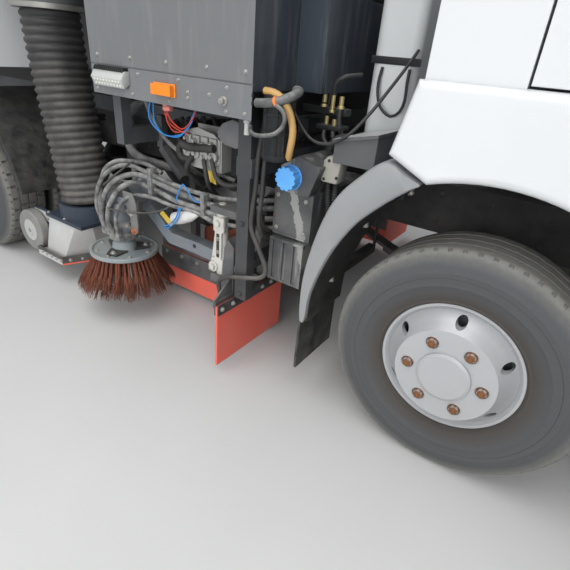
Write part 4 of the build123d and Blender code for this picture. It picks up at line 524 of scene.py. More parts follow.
def smooth_path(points, step=0.015):
    """Points of a smooth curve through the given ones."""
    spots = [Vector(point) for point in points]
    ends = [2 * spots[0] - spots[1]] + spots + [2 * spots[-1] - spots[-2]]
    path = []
    for before, start, end, after in zip(ends, ends[1:], ends[2:], ends[3:]):
        count = max(2, int((end - start).length / step))
        for number in range(count):
            t = number / count
            bend = (2 * before - 5 * start + 4 * end - after) * t * t
            twist = (3 * start - before - 3 * end + after) * t ** 3
            path.append(0.5 * (2 * start + (end - before) * t + bend + twist))
    path.append(spots[-1])
    return path


def add_tube(shape, path, radius_at, sides=12):
    """Adds a round tube along a path; radius_at gives the radius from the length run so far."""
    normal = None
    rings = []
    run = 0.0
    for number, spot in enumerate(path):
        ahead = (path[min(number + 1, len(path) - 1)] - path[max(number - 1, 0)]).normalized()
        if normal is None:
            normal = ahead.orthogonal().normalized()
        normal = (normal - ahead * normal.dot(ahead)).normalized()
        across = ahead.cross(normal)
        if number:
            run += (spot - path[number - 1]).length
        radius = radius_at(run)
        angles = [2 * pi * part / sides for part in range(sides)]
        rings.append([shape.verts.new(spot + (normal * cos(a) + across * sin(a)) * radius) for a in angles])
    for first, second in zip(rings, rings[1:]):
        for part in range(sides):
            after = (part + 1) % sides
            shape.faces.new((first[part], first[after], second[after], second[part]))
    shape.faces.new(list(reversed(rings[0])))
    shape.faces.new(rings[-1])


def hoses(name, routes, body, finish, sign=-1, pitch=0.0, depth=0.0, sides=12, step=0.015):
    """Round hoses or wires in one piece; each route is (radius, points), drawn for the right side."""
    shape = bmesh.new()
    for radius, points in routes:
        path = smooth_path([(x, -sign * y, z) for x, y, z in points], step)

        def radius_at(run, radius=radius):
            if pitch:
                return radius - depth * (0.5 + 0.5 * cos(2 * pi * run / pitch))
            return radius
        add_tube(shape, path, radius_at, sides)
    bmesh.ops.recalc_face_normals(shape, faces=shape.faces)
    finished_piece(name, shape, body, finish, sharp=70)


def add_plate(shape, outline, flat, near, far):
    """Adds a plate: an outline in two axes, thick along the third (flat is 0, 1 or 2)."""
    order = [axis for axis in range(3) if axis != flat]
    rows = []
    for depth in (near, far):
        row = []
        for first, second in outline:
            place = [0, 0, 0]
            place[order[0]], place[order[1]], place[flat] = first, second, depth
            row.append(shape.verts.new(place))
        rows.append(row)
    count = len(outline)
    shape.faces.new(rows[0])
    shape.faces.new(list(reversed(rows[1])))
    for part in range(count):
        after = (part + 1) % count
        shape.faces.new((rows[0][part], rows[1][part], rows[1][after], rows[0][after]))


def soft_edges(shape, width, sharp=30, segments=2):
    """Rounds every edge that turns by more than an angle."""
    bmesh.ops.recalc_face_normals(shape, faces=shape.faces)
    edges = [edge for edge in shape.edges if len(edge.link_faces) == 2
             and edge.calc_face_angle(0) > radians(sharp)]
    bmesh.ops.bevel(shape, geom=edges, offset=width, offset_type="OFFSET", affect="EDGES", segments=segments,
                    profile=0.5, material=-1, clamp_overlap=True)


def plates(name, items, body, finish, sign=-1, edge=0.002):
    """Flat pieces with softened edges; each item is (outline, flat axis, near, far), right side drawn."""
    shape = bmesh.new()
    for outline, flat, near, far in items:
        if flat == 1:
            near, far = -sign * near, -sign * far
        elif flat == 0:
            outline = [(-sign * y, z) for y, z in outline]
        else:
            outline = [(x, -sign * y) for x, y in outline]
        add_plate(shape, outline, flat, near, far)
    if edge:
        soft_edges(shape, edge)
    bmesh.ops.recalc_face_normals(shape, faces=shape.faces)
    finished_piece(name, shape, body, finish)


def frame_box(x0, x1, z0, z1):
    """Corners of a rectangle in two axes."""
    return [(x0, z0), (x1, z0), (x1, z1), (x0, z1)]


zinc = weathered("zinc_bolts", (0.44, 0.43, 0.40), 0.42, metallic=0.7, dust=0.35, low=1.2, grain=0.4,
                 tint=0.1)
for side, sign in both_sides:
    rail_bolts = [((-2.60 + 0.21 * step, sign * 0.430, height), (0, sign, 0), 0.008)
                  for step in range(26) for height in (0.70, 0.82)]
    bolt_heads("rail_bolts_" + side, rail_bolts, "chassis", chassis_black)

# Front mudguards: a black plastic liner with a wide grey lip, which ends in a rounded tongue at the
# bottom. The guards at the rear and all mudflaps are plain black plastic and rubber, caked with dirt.
guard_black = weathered("guard_plastic", (0.009, 0.010, 0.011), 0.52, dust=0.5, low=0.9, grain=0.6, wear=0.1,
                        dust_scale=16, dust_colour=(0.22, 0.21, 0.19))
finish_node(guard_black, "rear_mudguards", "mudflaps")
guard_grey = weathered("guard_grey_plastic", (0.240, 0.247, 0.253), 0.48, dust=0.3, low=1.0, grain=0.5,
                       wear=0.05, tint=0.03)
guard_outer = smooth_path([(1.128, 0, 0.386), (1.125, 0, 0.570), (1.155, 0, 0.740), (1.208, 0, 0.890),
                           (1.286, 0, 0.985), (1.366, 0, 1.050), (1.425, 0, 1.028), (1.484, 0, 1.004)], 0.03)
guard_inner = smooth_path([(1.158, 0, 0.386), (1.167, 0, 0.520), (1.222, 0, 0.690), (1.290, 0, 0.815),
                           (1.350, 0, 0.885), (1.410, 0, 0.942), (1.450, 0, 0.974), (1.484, 0, 0.999)], 0.03)


def along(path, share):
    """A point at a share of a path's points."""
    spot = share * (len(path) - 1)
    low = min(int(spot), len(path) - 2)
    return path[low].lerp(path[low + 1], spot - low)


def sheet_into(shape, rows, thick):
    """Adds a sheet through rows of points, thickened along its normals."""
    grid = [[shape.verts.new(spot) for spot in row] for row in rows]
    faces = []
    for first, second in zip(grid, grid[1:]):
        for part in range(len(first) - 1):
            faces.append(shape.faces.new((first[part], first[part + 1], second[part + 1], second[part])))
    bmesh.ops.recalc_face_normals(shape, faces=faces)
    bmesh.ops.solidify(shape, geom=faces, thickness=thick)


steps = 36
lip_section = ((0.0, 0.800), (0.0, 1.075), (0.035, 1.091), (0.12, 1.0985), (0.93, 1.0985), (1.0, 1.091),
               (1.0, 1.082))
for side, sign in both_sides:
    lip = bmesh.new()
    rows = []
    for step in range(steps + 1):
        share = step / steps
        outside = along(guard_outer, share)
        inside = along(guard_inner, share)
        narrower = 0.264 * max(0.0, 1 - step / 2) ** 2
        outside = outside.lerp(inside, narrower)
        inside = inside.lerp(along(guard_outer, share), narrower)
        spots = [(outside.lerp(inside, toward), depth) for toward, depth in lip_section]
        rows.append([(spot.x, sign * depth, spot.z) for spot, depth in spots])
    sheet_into(lip, rows, 0.003)
    piece = finished_piece("mudguard_lip_" + side, lip, "chassis", guard_grey, sharp=50)
    if sign == 1:
        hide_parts("front_mudguards")
    liner = bmesh.new()
    rows = []
    for step in range(steps + 1):
        spot = along(guard_inner, step / steps)
        rows.append([(spot.x, sign * depth, spot.z)
                     for depth in (0.802, 0.85, 0.90, 0.95, 1.00, 1.05, 1.080)])
    sheet_into(liner, rows, 0.004)
    finished_piece("mudguard_liner_" + side, liner, "chassis", guard_black, sharp=50)
    stay = [(frame_box(1.100, 1.138, 0.470, 0.510), 1, -0.430, -0.840),
            (frame_box(1.126, 1.138, 0.470, 0.810), 1, -0.430, -0.445)]
    plates("mudguard_stay_" + side, stay, "chassis", chassis_black, sign)
    screws = [((along(guard_inner, share).x + 0.006, sign * 0.95, along(guard_inner, share).z - 0.004),
               (0.8, 0, -0.5), 0.009) for share in (0.2, 0.55, 0.82)]
    bolt_heads("mudguard_screws_" + side, screws, "chassis", zinc)

# Tanks behind the mudguards: black moulded plastic with a raised filler and a blue screw cap. Water
# has run down them and dried to pale streaks. Pipes lead to a pump under a beige cover.
tank_black = weathered("tank_plastic", (0.044, 0.046, 0.050), 0.40, dust=0.5, low=1.3, grain=0.3, wear=0.15,
                       dust_colour=(0.30, 0.295, 0.28))


def opened(finish):
    """A finish's node tree, the colour it has so far and its coordinate sockets."""
    tree = finish.node_tree
    colour = tree.nodes["Principled BSDF"].inputs["Base Color"].links[0].from_socket
    return tree, colour, tree.nodes.new("ShaderNodeTexCoord").outputs


def repaint(finish, colour):
    """Feeds a finish with a new colour socket."""
    tree = finish.node_tree
    tree.links.new(colour, tree.nodes["Principled BSDF"].inputs["Base Color"])


def streaks_of(tree, vector, across, down, rough):
    """Noise drawn out downwards, as running water leaves it."""
    node = tree.nodes.new("ShaderNodeMapping")
    node.inputs["Scale"].default_value = (across, across, down)
    tree.links.new(vector, node.inputs["Vector"])
    return noise_of(tree, node.outputs["Vector"], 1.0, 5.0, rough)


def add_round(shape, centre, flat, near, far, radius, end=None, sides=24):
    """Adds a disc or a cone: its centre in two axes, thick along the third, as in add_plate."""
    place = list(centre)
    place.insert(flat, (near + far) / 2)
    turn = (Matrix.Rotation(pi / 2, 4, "Y"), Matrix.Rotation(pi / 2, 4, "X"), Matrix.Identity(4))[flat]
    bmesh.ops.create_cone(shape, cap_ends=True, segments=sides, radius1=radius,
                          radius2=radius if end is None else end, depth=abs(far - near),
                          matrix=Matrix.Translation(place) @ turn)


tree, dark_skin, place = opened(tank_black)
runs = streaks_of(tree, place["Object"], 26, 2.6, 0.55)
runs = sum_node(tree, "MULTIPLY_ADD", runs, 6.0, -3.2, clamp=True)
spot = axes_of(tree, place["Object"])
scrape_lean = 0.30
scrape_foot_x = 1.238
lean_line = sum_node(tree, "MULTIPLY_ADD", spot["Z"], scrape_lean, spot["X"])
off_line = sum_node(tree, "ABSOLUTE", sum_node(tree, "SUBTRACT", lean_line, scrape_foot_x), 0.0)
ragged = sum_node(tree, "MULTIPLY_ADD", noise_of(tree, place["Object"], 34.0, 5.0, 0.7), -0.050, off_line)
scraped = sum_node(tree, "LESS_THAN", ragged, -0.008)
runs = sum_node(tree, "MAXIMUM", runs, scraped)
repaint(tank_black, mix_of(tree, sum_node(tree, "MULTIPLY", runs, 0.66), dark_skin, (0.34, 0.345, 0.325)))
finish_node(tank_black, "side_tanks")
cap_blue = weathered("blue_cap", (0.110, 0.37, 0.80), 0.40, dust=0.08, low=0.9, grain=0.3, tint=0.03)
finish_node(cap_blue, "filler_caps")
beige = weathered("beige_cover", (0.30, 0.295, 0.265), 0.5, dust=0.35, low=1.3, grain=0.4)
for side, sign in both_sides:
    cap_ring = bmesh.new()
    for radius, near, far in ((0.034, 1.0415, 1.0418), (0.047, 0.999, 1.004)):
        add_round(cap_ring, (0.980, 0.905), 1, sign * near, sign * far, radius, sides=32)
    finished_piece("cap_ring_" + side, cap_ring, "chassis", cap_blue)
    cover = [([(1.082, 0.905), (1.150, 0.905), (1.158, 0.985), (1.140, 1.002), (1.104, 1.002),
               (1.086, 0.985)], 1, -0.900, -0.965)]
    plates("pump_cover_" + side, cover, "chassis", beige, sign, edge=0.009)
    screws = [((x, sign * 0.965, z), (0, sign, 0), 0.004) for x, z in ((1.096, 0.918), (1.110, 0.985),
                                                                       (1.146, 0.930))]
    bolt_heads("cover_screws_" + side, screws, "chassis", chassis_black)
    pipes = [(0.013, [(1.100, -0.930, 0.910), (1.104, -0.935, 0.860), (1.112, -0.930, 0.800),
                      (1.100, -0.900, 0.740)]),
             (0.013, [(1.130, -0.930, 0.910), (1.138, -0.940, 0.850), (1.146, -0.935, 0.780),
                      (1.130, -0.890, 0.730)])]
    hoses("tank_pipes_" + side, pipes, "chassis", guard_black, sign, pitch=0.009,
          depth=0.0035, step=0.002)
    vent = [(0.019, [(1.060, -0.880, 1.000), (1.075, -0.870, 1.035), (1.120, -0.850, 1.050),
                     (1.180, -0.830, 1.040)])]
    hoses("tank_hose_" + side, vent, "chassis", guard_black, sign)
    rims = [(frame_box(0.904, 1.056, 0.664, 0.672), 1, -0.985, -0.990),
            (frame_box(0.904, 1.056, 0.640, 0.650), 1, -1.000, -1.004)]
    plates("tank_rims_" + side, rims, "chassis", tank_black, sign)
    screws = [((x, sign * 0.986, z), (0, sign, 0), 0.006) for z in (0.822, 0.69) for x in (0.917, 1.044)]
    bolt_heads("tank_screws_" + side, screws, "chassis", zinc)

# Tray and water tank between the cab and the housing: a step cover of plastic, light grey on top and
# dark at its sides, and the white moulded water tank, held by a black strap, with its loops of cable.
tray_grey = weathered("tray_grey", (0.48, 0.49, 0.485), 0.42, dust=0.3, low=1.2, grain=0.3, wear=0.2)
tree, light_top, place = opened(tray_grey)
flank = sum_node(tree, "LESS_THAN", axes_of(tree, place["Normal"])["Z"], 0.5)
repaint(tray_grey, mix_of(tree, flank, light_top, (0.085, 0.088, 0.092)))
finish_node(tray_grey, "cab_rear_tray")
tank_white = weathered("white_tank", (0.48, 0.495, 0.50), 0.42, dust=0.3, low=1.4, grain=0.3, tint=0.05)
finish_node(tank_white, "water_tank")
cable_black = weathered("cable_sheath", (0.018, 0.018, 0.019), 0.42, dust=0.3, low=1.2, grain=0.3)
for side, sign in both_sides:
    loop = [(0.0055, [(1.150, -0.727, 1.290), (1.147, -0.735, 1.241), (1.155, -0.742, 1.199),
                      (1.176, -0.745, 1.158), (1.218, -0.745, 1.134), (1.250, -0.745, 1.154),
                      (1.260, -0.742, 1.194), (1.254, -0.735, 1.250), (1.252, -0.727, 1.290)]),
            (0.0055, [(0.951, -1.000, 1.155), (1.009, -1.005, 1.084), (1.063, -1.010, 1.050),
                      (1.121, -1.010, 1.049), (1.165, -1.005, 1.070), (1.199, -0.985, 1.104),
                      (1.232, -0.940, 1.165), (1.250, -0.880, 1.225), (1.262, -0.800, 1.290),
                      (1.270, -0.727, 1.350)])]
    hoses("tank_cable_" + side, loop, "chassis", cable_black, sign, sides=8)
    strap = [(frame_box(1.100, 1.285, 1.300, 1.325), 1, -0.719, -0.723)]
    plates("tank_strap_" + side, strap, "chassis", chassis_black, sign)

# Bumper, lamps and the plate at the tail: dark plastic mouldings, and lamps with clear, amber and red
# lenses, one plastic for all three, since only the colour moulded in differs from place to place.
bumper_black = weathered("bumper_plastic", (0.045, 0.047, 0.050), 0.5, dust=0.45, low=1.0, grain=0.6)
finish_node(bumper_black, "front_bumper", "grille_panel", "mirrors")
lens_plastic = weathered("lamp_plastic", (0.80, 0.22, 0.012), 0.2, dust=0.12, low=1.0, coat=0.6, grain=0.05,
                         tint=0.02)
tree, amber, place = opened(lens_plastic)
spot = axes_of(tree, place["Object"])
lamps_from_middle = 2.5
at_tail = sum_node(tree, "LESS_THAN", spot["X"], -lamps_from_middle)
at_nose = sum_node(tree, "GREATER_THAN", spot["X"], lamps_from_middle)
lens = mix_of(tree, at_tail, amber, (0.42, 0.012, 0.010))
repaint(lens_plastic, mix_of(tree, at_nose, lens, (0.62, 0.64, 0.66)))
finish_node(lens_plastic, "lamps")
for side, sign in both_sides:
    rings = bmesh.new()
    for y in (0.755, 0.895):
        for radius, near, far in ((0.056, 2.9935, 2.9965), (0.044, 2.9955, 2.9975)):
            add_round(rings, (sign * y, 0.590), 0, near, far, radius, radius * 0.9, sides=32)
    finished_piece("headlamp_rings_" + side, rings, "chassis", silver)
    marker = [(frame_box(0.433, 0.547, 1.131, 1.176), 1, -1.1502, -1.156),
              (frame_box(0.462, 0.466, 1.137, 1.170), 1, -1.1755, -1.1765)]
    plates("marker_base_" + side, marker, "chassis", lens_plastic, sign, edge=0.0008)
plates("rear_plate", [([(-0.26, 0.440), (0.26, 0.440), (0.26, 0.500), (-0.26, 0.500)], 0, -2.9995, -2.996)],
       "chassis", tank_white, edge=0.001)

# Sweeper subframe: welded square tube and plate in dark grey paint, bolted to the rails. It holds the
# long post with the brush arm's bearings, and a slanting stay that runs down to the flap frame.
frame_grey = weathered("frame_grey", (0.050, 0.055, 0.063), 0.40, dust=0.4, low=1.2, wear=0.45, coat=0.1)
tree, frame_paint, place = opened(frame_grey)
spot = axes_of(tree, place["Object"])
post_x = 0.830
# Near post_x the colour is darkened: painted shade, where the long post stands in shade.
from_post = sum_node(tree, "SUBTRACT", spot["X"], post_x)
post_half_width = 0.033
post_painted_shade = sum_node(tree, "LESS_THAN", sum_node(tree, "ABSOLUTE", from_post, 0.0), post_half_width)
repaint(frame_grey, mix_of(tree, sum_node(tree, "MULTIPLY", post_painted_shade, 0.6),
                           frame_paint, (0.016, 0.017, 0.019)))
finish_node(frame_grey, "sweeper_subframe", "wide_brush_arms")
finish_node(chassis_black, "hopper_underframe")
for side, sign in both_sides:
    post_bolts = [((post_x, sign * 1.1002, z), (0, sign, 0), 0.007) for z in (0.390, 0.705)]
    bolt_heads("post_bolts_" + side, post_bolts, "chassis", frame_grey)
    stays = bmesh.new()
    stay_line = [Vector((x, sign * 0.88, z)) for x, z in ((0.150, 1.005), (0.150, 0.860), (0.285, 0.735))]
    for path in (stay_line[:2], stay_line[1:]):
        add_tube(stays, path, lambda run: 0.026, 4)
    bmesh.ops.recalc_face_normals(stays, faces=stays.faces)
    finished_piece("slant_stay_" + side, stays, "chassis", frame_grey)

# Power pack housing: folded sheet in grey lacquer, a lower strip screwed under a lighter upper panel.
# It carries a round latch and a work light, a white casting with black cooling ribs and two rows of
# light diodes. Its dark front wall is painted near black low down, a painted shade where the real housing is
# open.
housing_grey = weathered("housing_grey", (0.140, 0.147, 0.155), 0.34, dust=0.22, low=1.6, wear=0.35, coat=0.2,
                         tint=0.04)
tree, lower_grey, place = opened(housing_grey)
spot = axes_of(tree, place["Object"])
panel_seam_z = 1.210
front_wall_x = 0.8995
front_wall_foot_z = 1.190
upper = sum_node(tree, "GREATER_THAN", spot["Z"], panel_seam_z)
nose = sum_node(tree, "GREATER_THAN", spot["X"], front_wall_x)
# Near black on the front wall below front_wall_foot_z: painted shade where the real housing is open.
open_front_painted_shade = sum_node(tree, "MULTIPLY", nose, sum_node(tree, "LESS_THAN", spot["Z"], front_wall_foot_z))
drips = sum_node(tree, "MULTIPLY_ADD", streaks_of(tree, place["Object"], 34, 3.0, 0.6), 4.0, -2.1, clamp=True)
paint = mix_of(tree, sum_node(tree, "MULTIPLY", upper, 0.5), lower_grey, (0.130, 0.134, 0.136))
paint = mix_of(tree, nose, paint, (0.032, 0.040, 0.052))
paint = mix_of(tree, open_front_painted_shade, paint, (0.006, 0.006, 0.007))
drips = sum_node(tree, "MULTIPLY", drips, sum_node(tree, "SUBTRACT", 1.0, open_front_painted_shade))
repaint(housing_grey, mix_of(tree, sum_node(tree, "MULTIPLY", drips, 0.16), paint, (0.42, 0.41, 0.38)))
finish_node(housing_grey, "power_pack_housing")
engine_paint = weathered("engine_paint", (0.16, 0.17, 0.18), 0.5, metallic=0.2, dust=0.3, low=1.2, grain=0.5)
finish_node(engine_paint, "sweep_engine")
lamp_white = weathered("lamp_casting", (0.42, 0.43, 0.42), 0.45, dust=0.3, low=1.6, grain=0.5, tint=0.06)
led = weathered("led_window", (0.70, 0.70, 0.62), 0.15, dust=0.1, low=1.0, coat=0.7, grain=0.0)
housing_side = 1.150
for side, sign in both_sides:
    spots = [(0.606, 1.157), (0.606, 1.138), (0.711, 1.160), (0.790, 1.190), (0.788, 1.116), (0.510, 1.118),
             (0.870, 1.118), (0.300, 1.118), (0.080, 1.118), (0.080, 1.190), (0.340, 1.192), (0.560, 1.192)]
    spots += [(x, z) for z in (1.245, 2.44) for x in (0.10, 0.30, 0.50, 0.70, 0.87)]
    screws = [((x, sign * housing_side, z), (0, sign, 0), 0.0055) for x, z in spots]
    bolt_heads("housing_screws_" + side, screws, "chassis", zinc, sides=12)
    latch = bmesh.new()
    for radius, near, far, count in ((0.016, 1.149, 1.156, 20), (0.0115, 1.155, 1.170, 6),
                                     (0.006, 1.169, 1.174, 12)):
        add_round(latch, (0.780, 1.149), 1, sign * near, sign * far, radius, sides=count)
    finished_piece("panel_latch_" + side, latch, "chassis", zinc)
    # Thin black plates stand for two slots at the panel's front edge: painted shade for their dark insides.
    slots = [(frame_box(0.8975, 0.9045, z, z + 0.011), 1, -1.1495, -1.1508) for z in (1.150, 1.174)]
    plates("edge_slot_shade_" + side, slots, "chassis", guard_black, sign, edge=0)
    rear, front = 0.100, 0.290
    body = [([(-1.1505, 1.196), (-1.172, 1.196), (-1.192, 1.166), (-1.178, 1.134), (-1.1505, 1.150)],
             0, rear, front)]
    plates("work_light_" + side, body, "chassis", lamp_white, sign, edge=0.0012)
    fins = [([(-1.1505, 1.208), (-1.172, 1.208), (-1.182, 1.192), (-1.1505, 1.195)], 0, x, x + 0.005)
            for x in (rear + 0.004 + 0.0125 * fin for fin in range(15))]
    plates("work_light_fins_" + side, fins, "chassis", guard_black, sign, edge=0)
    lights = bmesh.new()
    turn = Vector((0, sign * 0.917, -0.40)).to_track_quat("Z", "Y").to_matrix().to_4x4()
    for row in range(2):
        for number in range(9):
            spot_at = (rear + 0.020 + 0.0188 * number, sign * (1.1882 - 0.0060 * row), 1.1572 - 0.0135 * row)
            bmesh.ops.create_cone(lights, cap_ends=True, segments=14, radius1=0.0052, radius2=0.0040,
                                  depth=0.0040, matrix=Matrix.Translation(spot_at) @ turn)
    finished_piece("work_light_leds_" + side, lights, "chassis", led)

# Valve gear under the housing, on the right: a bare cast block with ports and hoses, a grey motor cover
# and a ribbed canister. Ahead of the housing hang a second black canister, a tan pipe, a hose in an
# orange clip, a conduit with its connector and a rail of brass fittings, all screwed to brackets.
block_cast = weathered("valve_casting", (0.37, 0.37, 0.355), 0.5, metallic=0.35, dust=0.35, low=1.6,
                       grain=0.9, grain_scale=240, wear=0.4, tint=0.12, bare=(0.10, 0.09, 0.08))
tree, bare_cast, place = opened(block_cast)
spot = axes_of(tree, place["Object"])
block_front_x = 0.66
block_foot_z = 0.829
ahead_of_block = sum_node(tree, "GREATER_THAN", spot["X"], block_front_x)
below_block = sum_node(tree, "LESS_THAN", spot["Z"], block_foot_z)
dark = sum_node(tree, "ADD", ahead_of_block, below_block, clamp=True)
repaint(block_cast, mix_of(tree, dark, bare_cast, (0.030, 0.031, 0.033)))
finish_node(block_cast, "hydraulic_block")
brass = weathered("brass_fittings", (0.52, 0.43, 0.20), 0.35, metallic=0.8, dust=0.3, low=1.4, grain=0.3)
cover_grey = weathered("motor_cover", (0.095, 0.100, 0.112), 0.5, dust=0.45, low=1.8, grain=0.8, wear=0.2)
label_yellow = weathered("yellow_plate", (0.68, 0.47, 0.06), 0.45, dust=0.35, low=1.2, grain=0.2)
plates("motor_cover_body", [([(0.604, 0.985), (0.640, 0.962), (0.700, 0.956), (0.752, 0.972),
                              (0.762, 1.010), (0.742, 1.052), (0.680, 1.066), (0.628, 1.044),
                              (0.600, 1.012)], 1, -0.905, -0.992)], "chassis", cover_grey,
       edge=0.007)
plates("motor_cover_box", [(frame_box(0.625, 0.745, 0.826, 0.954), 1, -0.860, -0.930)],
       "chassis", guard_black, edge=0.004)
faces = [([(0.396, 0.985), (0.470, 1.004), (0.560, 0.988), (0.594, 0.966), (0.594, 0.870), (0.566, 0.848),
           (0.470, 0.850), (0.396, 0.868)], 1, -0.955, -0.966)]
faces += [(frame_box(0.402 + 0.048 * row, 0.440 + 0.048 * row, 0.880, 0.972), 1, -0.965, -0.979)
          for row in range(4)]
plates("valve_face", faces, "chassis", block_cast, edge=0.003)
ports = bmesh.new()
for x, z, radius in ((0.420, 0.905, 0.014), (0.468, 0.950, 0.012), (0.468, 0.900, 0.014),
                     (0.516, 0.940, 0.013), (0.516, 0.890, 0.012), (0.564, 0.950, 0.011),
                     (0.564, 0.900, 0.013), (0.420, 0.955, 0.010)):
    for wide, near, far, count in ((1.0, 0.978, 0.988, 6), (0.7, 0.987, 0.998, 14)):
        add_round(ports, (x, z), 1, -near, -far, radius * wide, sides=count)
finished_piece("valve_ports", ports, "chassis", zinc)
elbows = [(0.017, [(0.586, -0.990, 0.937), (0.500, -0.998, 0.928), (0.433, -1.000, 0.923),
                   (0.405, -0.995, 0.930)]),
          (0.013, [(0.413, -0.992, 0.938), (0.381, -0.992, 0.912), (0.390, -0.990, 0.871),
                   (0.451, -0.985, 0.868)]),
          (0.012, [(0.455, -0.985, 0.890), (0.430, -0.990, 0.845), (0.400, -0.960, 0.800),
                   (0.420, -0.900, 0.730)]),
          (0.010, [(0.520, -0.985, 0.885), (0.535, -0.985, 0.820), (0.520, -0.950, 0.760),
                   (0.500, -0.880, 0.700)]),
          (0.010, [(0.565, -0.985, 0.895), (0.600, -0.990, 0.820), (0.640, -0.960, 0.790),
                   (0.700, -0.900, 0.800)])]
hoses("valve_hoses", elbows, "chassis", cable_black)
plates("valve_label", [([(0.486, 0.835), (0.528, 0.828), (0.545, 0.768), (0.503, 0.775)], 1, -0.930, -0.933)],
       "chassis", label_yellow, edge=0)


def ribbed_can(name, x, y, rings, bars, finish):
    """An upright canister: rings as (radius, low, high), bars as (number, out, radius, low, high)."""
    shape = bmesh.new()
    for radius, low, high in rings:
        add_round(shape, (x, y), 2, low, high, radius, sides=40)
    count, out, radius, low, high = bars
    for number in range(count):
        angle = 2 * pi * number / count
        add_round(shape, (x + out * cos(angle), y + out * sin(angle)), 2, low, high, radius, sides=6)
    finished_piece(name, shape, "chassis", finish)


ribs = [(0.0655, 0.972 + 0.032 * number, 0.978 + 0.032 * number) for number in range(6)]
ribbed_can("canister_ribs", 0.750, -0.800, ribs, (14, 0.0625, 0.0045, 0.970, 1.140), tank_black)
tan = weathered("tan_pipe", (0.46, 0.27, 0.085), 0.4, dust=0.3, low=1.4, grain=0.3, tint=0.12)
hoses("tan_pipe", [(0.012, [(0.925, -1.115, 1.196), (0.962, -1.118, 1.194), (0.996, -1.118, 1.180),
                            (1.024, -1.110, 1.140), (1.038, -1.105, 1.085), (1.030, -1.100, 1.026),
                            (1.012, -1.080, 0.990)])], "chassis", tan)
hose_grey = weathered("hose_grey", (0.040, 0.042, 0.045), 0.42, dust=0.85, low=1.8, grain=0.6, tint=0.1,
                      dust_scale=22, dust_colour=(0.38, 0.375, 0.355))
hoses("return_hose", [(0.015, [(0.906, -1.134, 1.157), (0.950, -1.134, 1.162), (0.985, -1.132, 1.169),
                               (1.017, -1.122, 1.182), (1.034, -1.100, 1.196), (1.028, -1.070, 1.203),
                               (1.000, -1.045, 1.203)])], "chassis", hose_grey)
clip_orange = weathered("orange_clip", (0.78, 0.20, 0.03), 0.4, dust=0.15, low=1.0)
hoses("orange_clip", [(0.0175, [(0.980, -1.132, 1.168), (0.989, -1.131, 1.171)])], "chassis", clip_orange,
      sides=20)
hoses("post_conduit", [(0.008, [(0.868, -1.112, 1.078), (0.890, -1.136, 1.064), (0.927, -1.146, 1.058),
                                (0.985, -1.146, 1.070), (1.018, -1.146, 1.092), (1.031, -1.146, 1.120),
                                (1.020, -1.144, 1.146), (0.990, -1.140, 1.160)])],
      "chassis", hose_grey, pitch=0.006, depth=0.002, step=0.0015, sides=10)
connector = bmesh.new()
for radius, low, high in ((0.011, 1.046, 1.092), (0.014, 1.086, 1.096), (0.0045, 1.096, 1.112)):
    add_round(connector, (0.853, -1.112), 2, low, high, radius, radius * 0.9, sides=20)
finished_piece("post_connector", connector, "chassis", lamp_white)
plates("canister_brackets", [(frame_box(0.902, 0.960, 1.128, 1.138), 1, -1.050, -1.090),
                             (frame_box(0.902, 0.960, 1.176, 1.184), 1, -1.050, -1.090)],
       "chassis", guard_black, edge=0.001)
ribbed_can("tall_canister", 0.960, -1.078,
           [(0.050, 0.976, 1.188), (0.055, 0.984, 0.994), (0.055, 1.064, 1.070), (0.055, 1.124, 1.130),
            (0.055, 1.174, 1.186)], (12, 0.0505, 0.0035, 0.980, 1.180), guard_black)
fittings = bmesh.new()
for x, z, radius, tall in ((1.000, 1.175, 0.0085, 0.030), (1.000, 1.150, 0.012, 0.010),
                           (1.036, 1.165, 0.0075, 0.050), (1.036, 1.134, 0.011, 0.010),
                           (1.070, 1.170, 0.0085, 0.034), (1.070, 1.150, 0.012, 0.010),
                           (1.018, 1.100, 0.0075, 0.030), (1.052, 1.095, 0.0090, 0.026)):
    add_round(fittings, (x, -0.852), 2, z - tall / 2, z + tall / 2, radius,
              sides=6 if radius > 0.0105 else 16)
finished_piece("brass_fittings", fittings, "chassis", brass)
plates("fitting_rail", [(frame_box(0.902, 1.088, 1.120, 1.145), 1, -0.800, -0.845),
                        (frame_box(0.985, 1.088, 1.070, 1.086), 1, -0.800, -0.870),
                        (frame_box(1.000, 1.012, 1.070, 1.190), 1, -0.800, -0.835)], "chassis", guard_black,
       edge=0.002)
rail_hoses = [(0.009, [(1.000, -0.852, 1.190), (1.000, -0.856, 1.215), (0.985, -0.830, 1.235)]),
              (0.008, [(1.036, -0.852, 1.190), (1.040, -0.860, 1.225), (1.070, -0.850, 1.250),
                       (1.110, -0.800, 1.260)]),
              (0.009, [(1.070, -0.852, 1.150), (1.072, -0.860, 1.110), (1.085, -0.850, 1.060),
                       (1.120, -0.800, 1.010)]),
              (0.008, [(1.018, -0.852, 1.085), (1.022, -0.870, 1.040), (1.060, -0.870, 1.010),
                       (1.100, -0.830, 0.995)]),
              (0.008, [(1.052, -0.852, 1.082), (1.058, -0.866, 1.050), (1.090, -0.850, 1.010),
                       (1.130, -0.780, 0.970)])]
hoses("rail_hoses", rail_hoses, "chassis", cable_black)

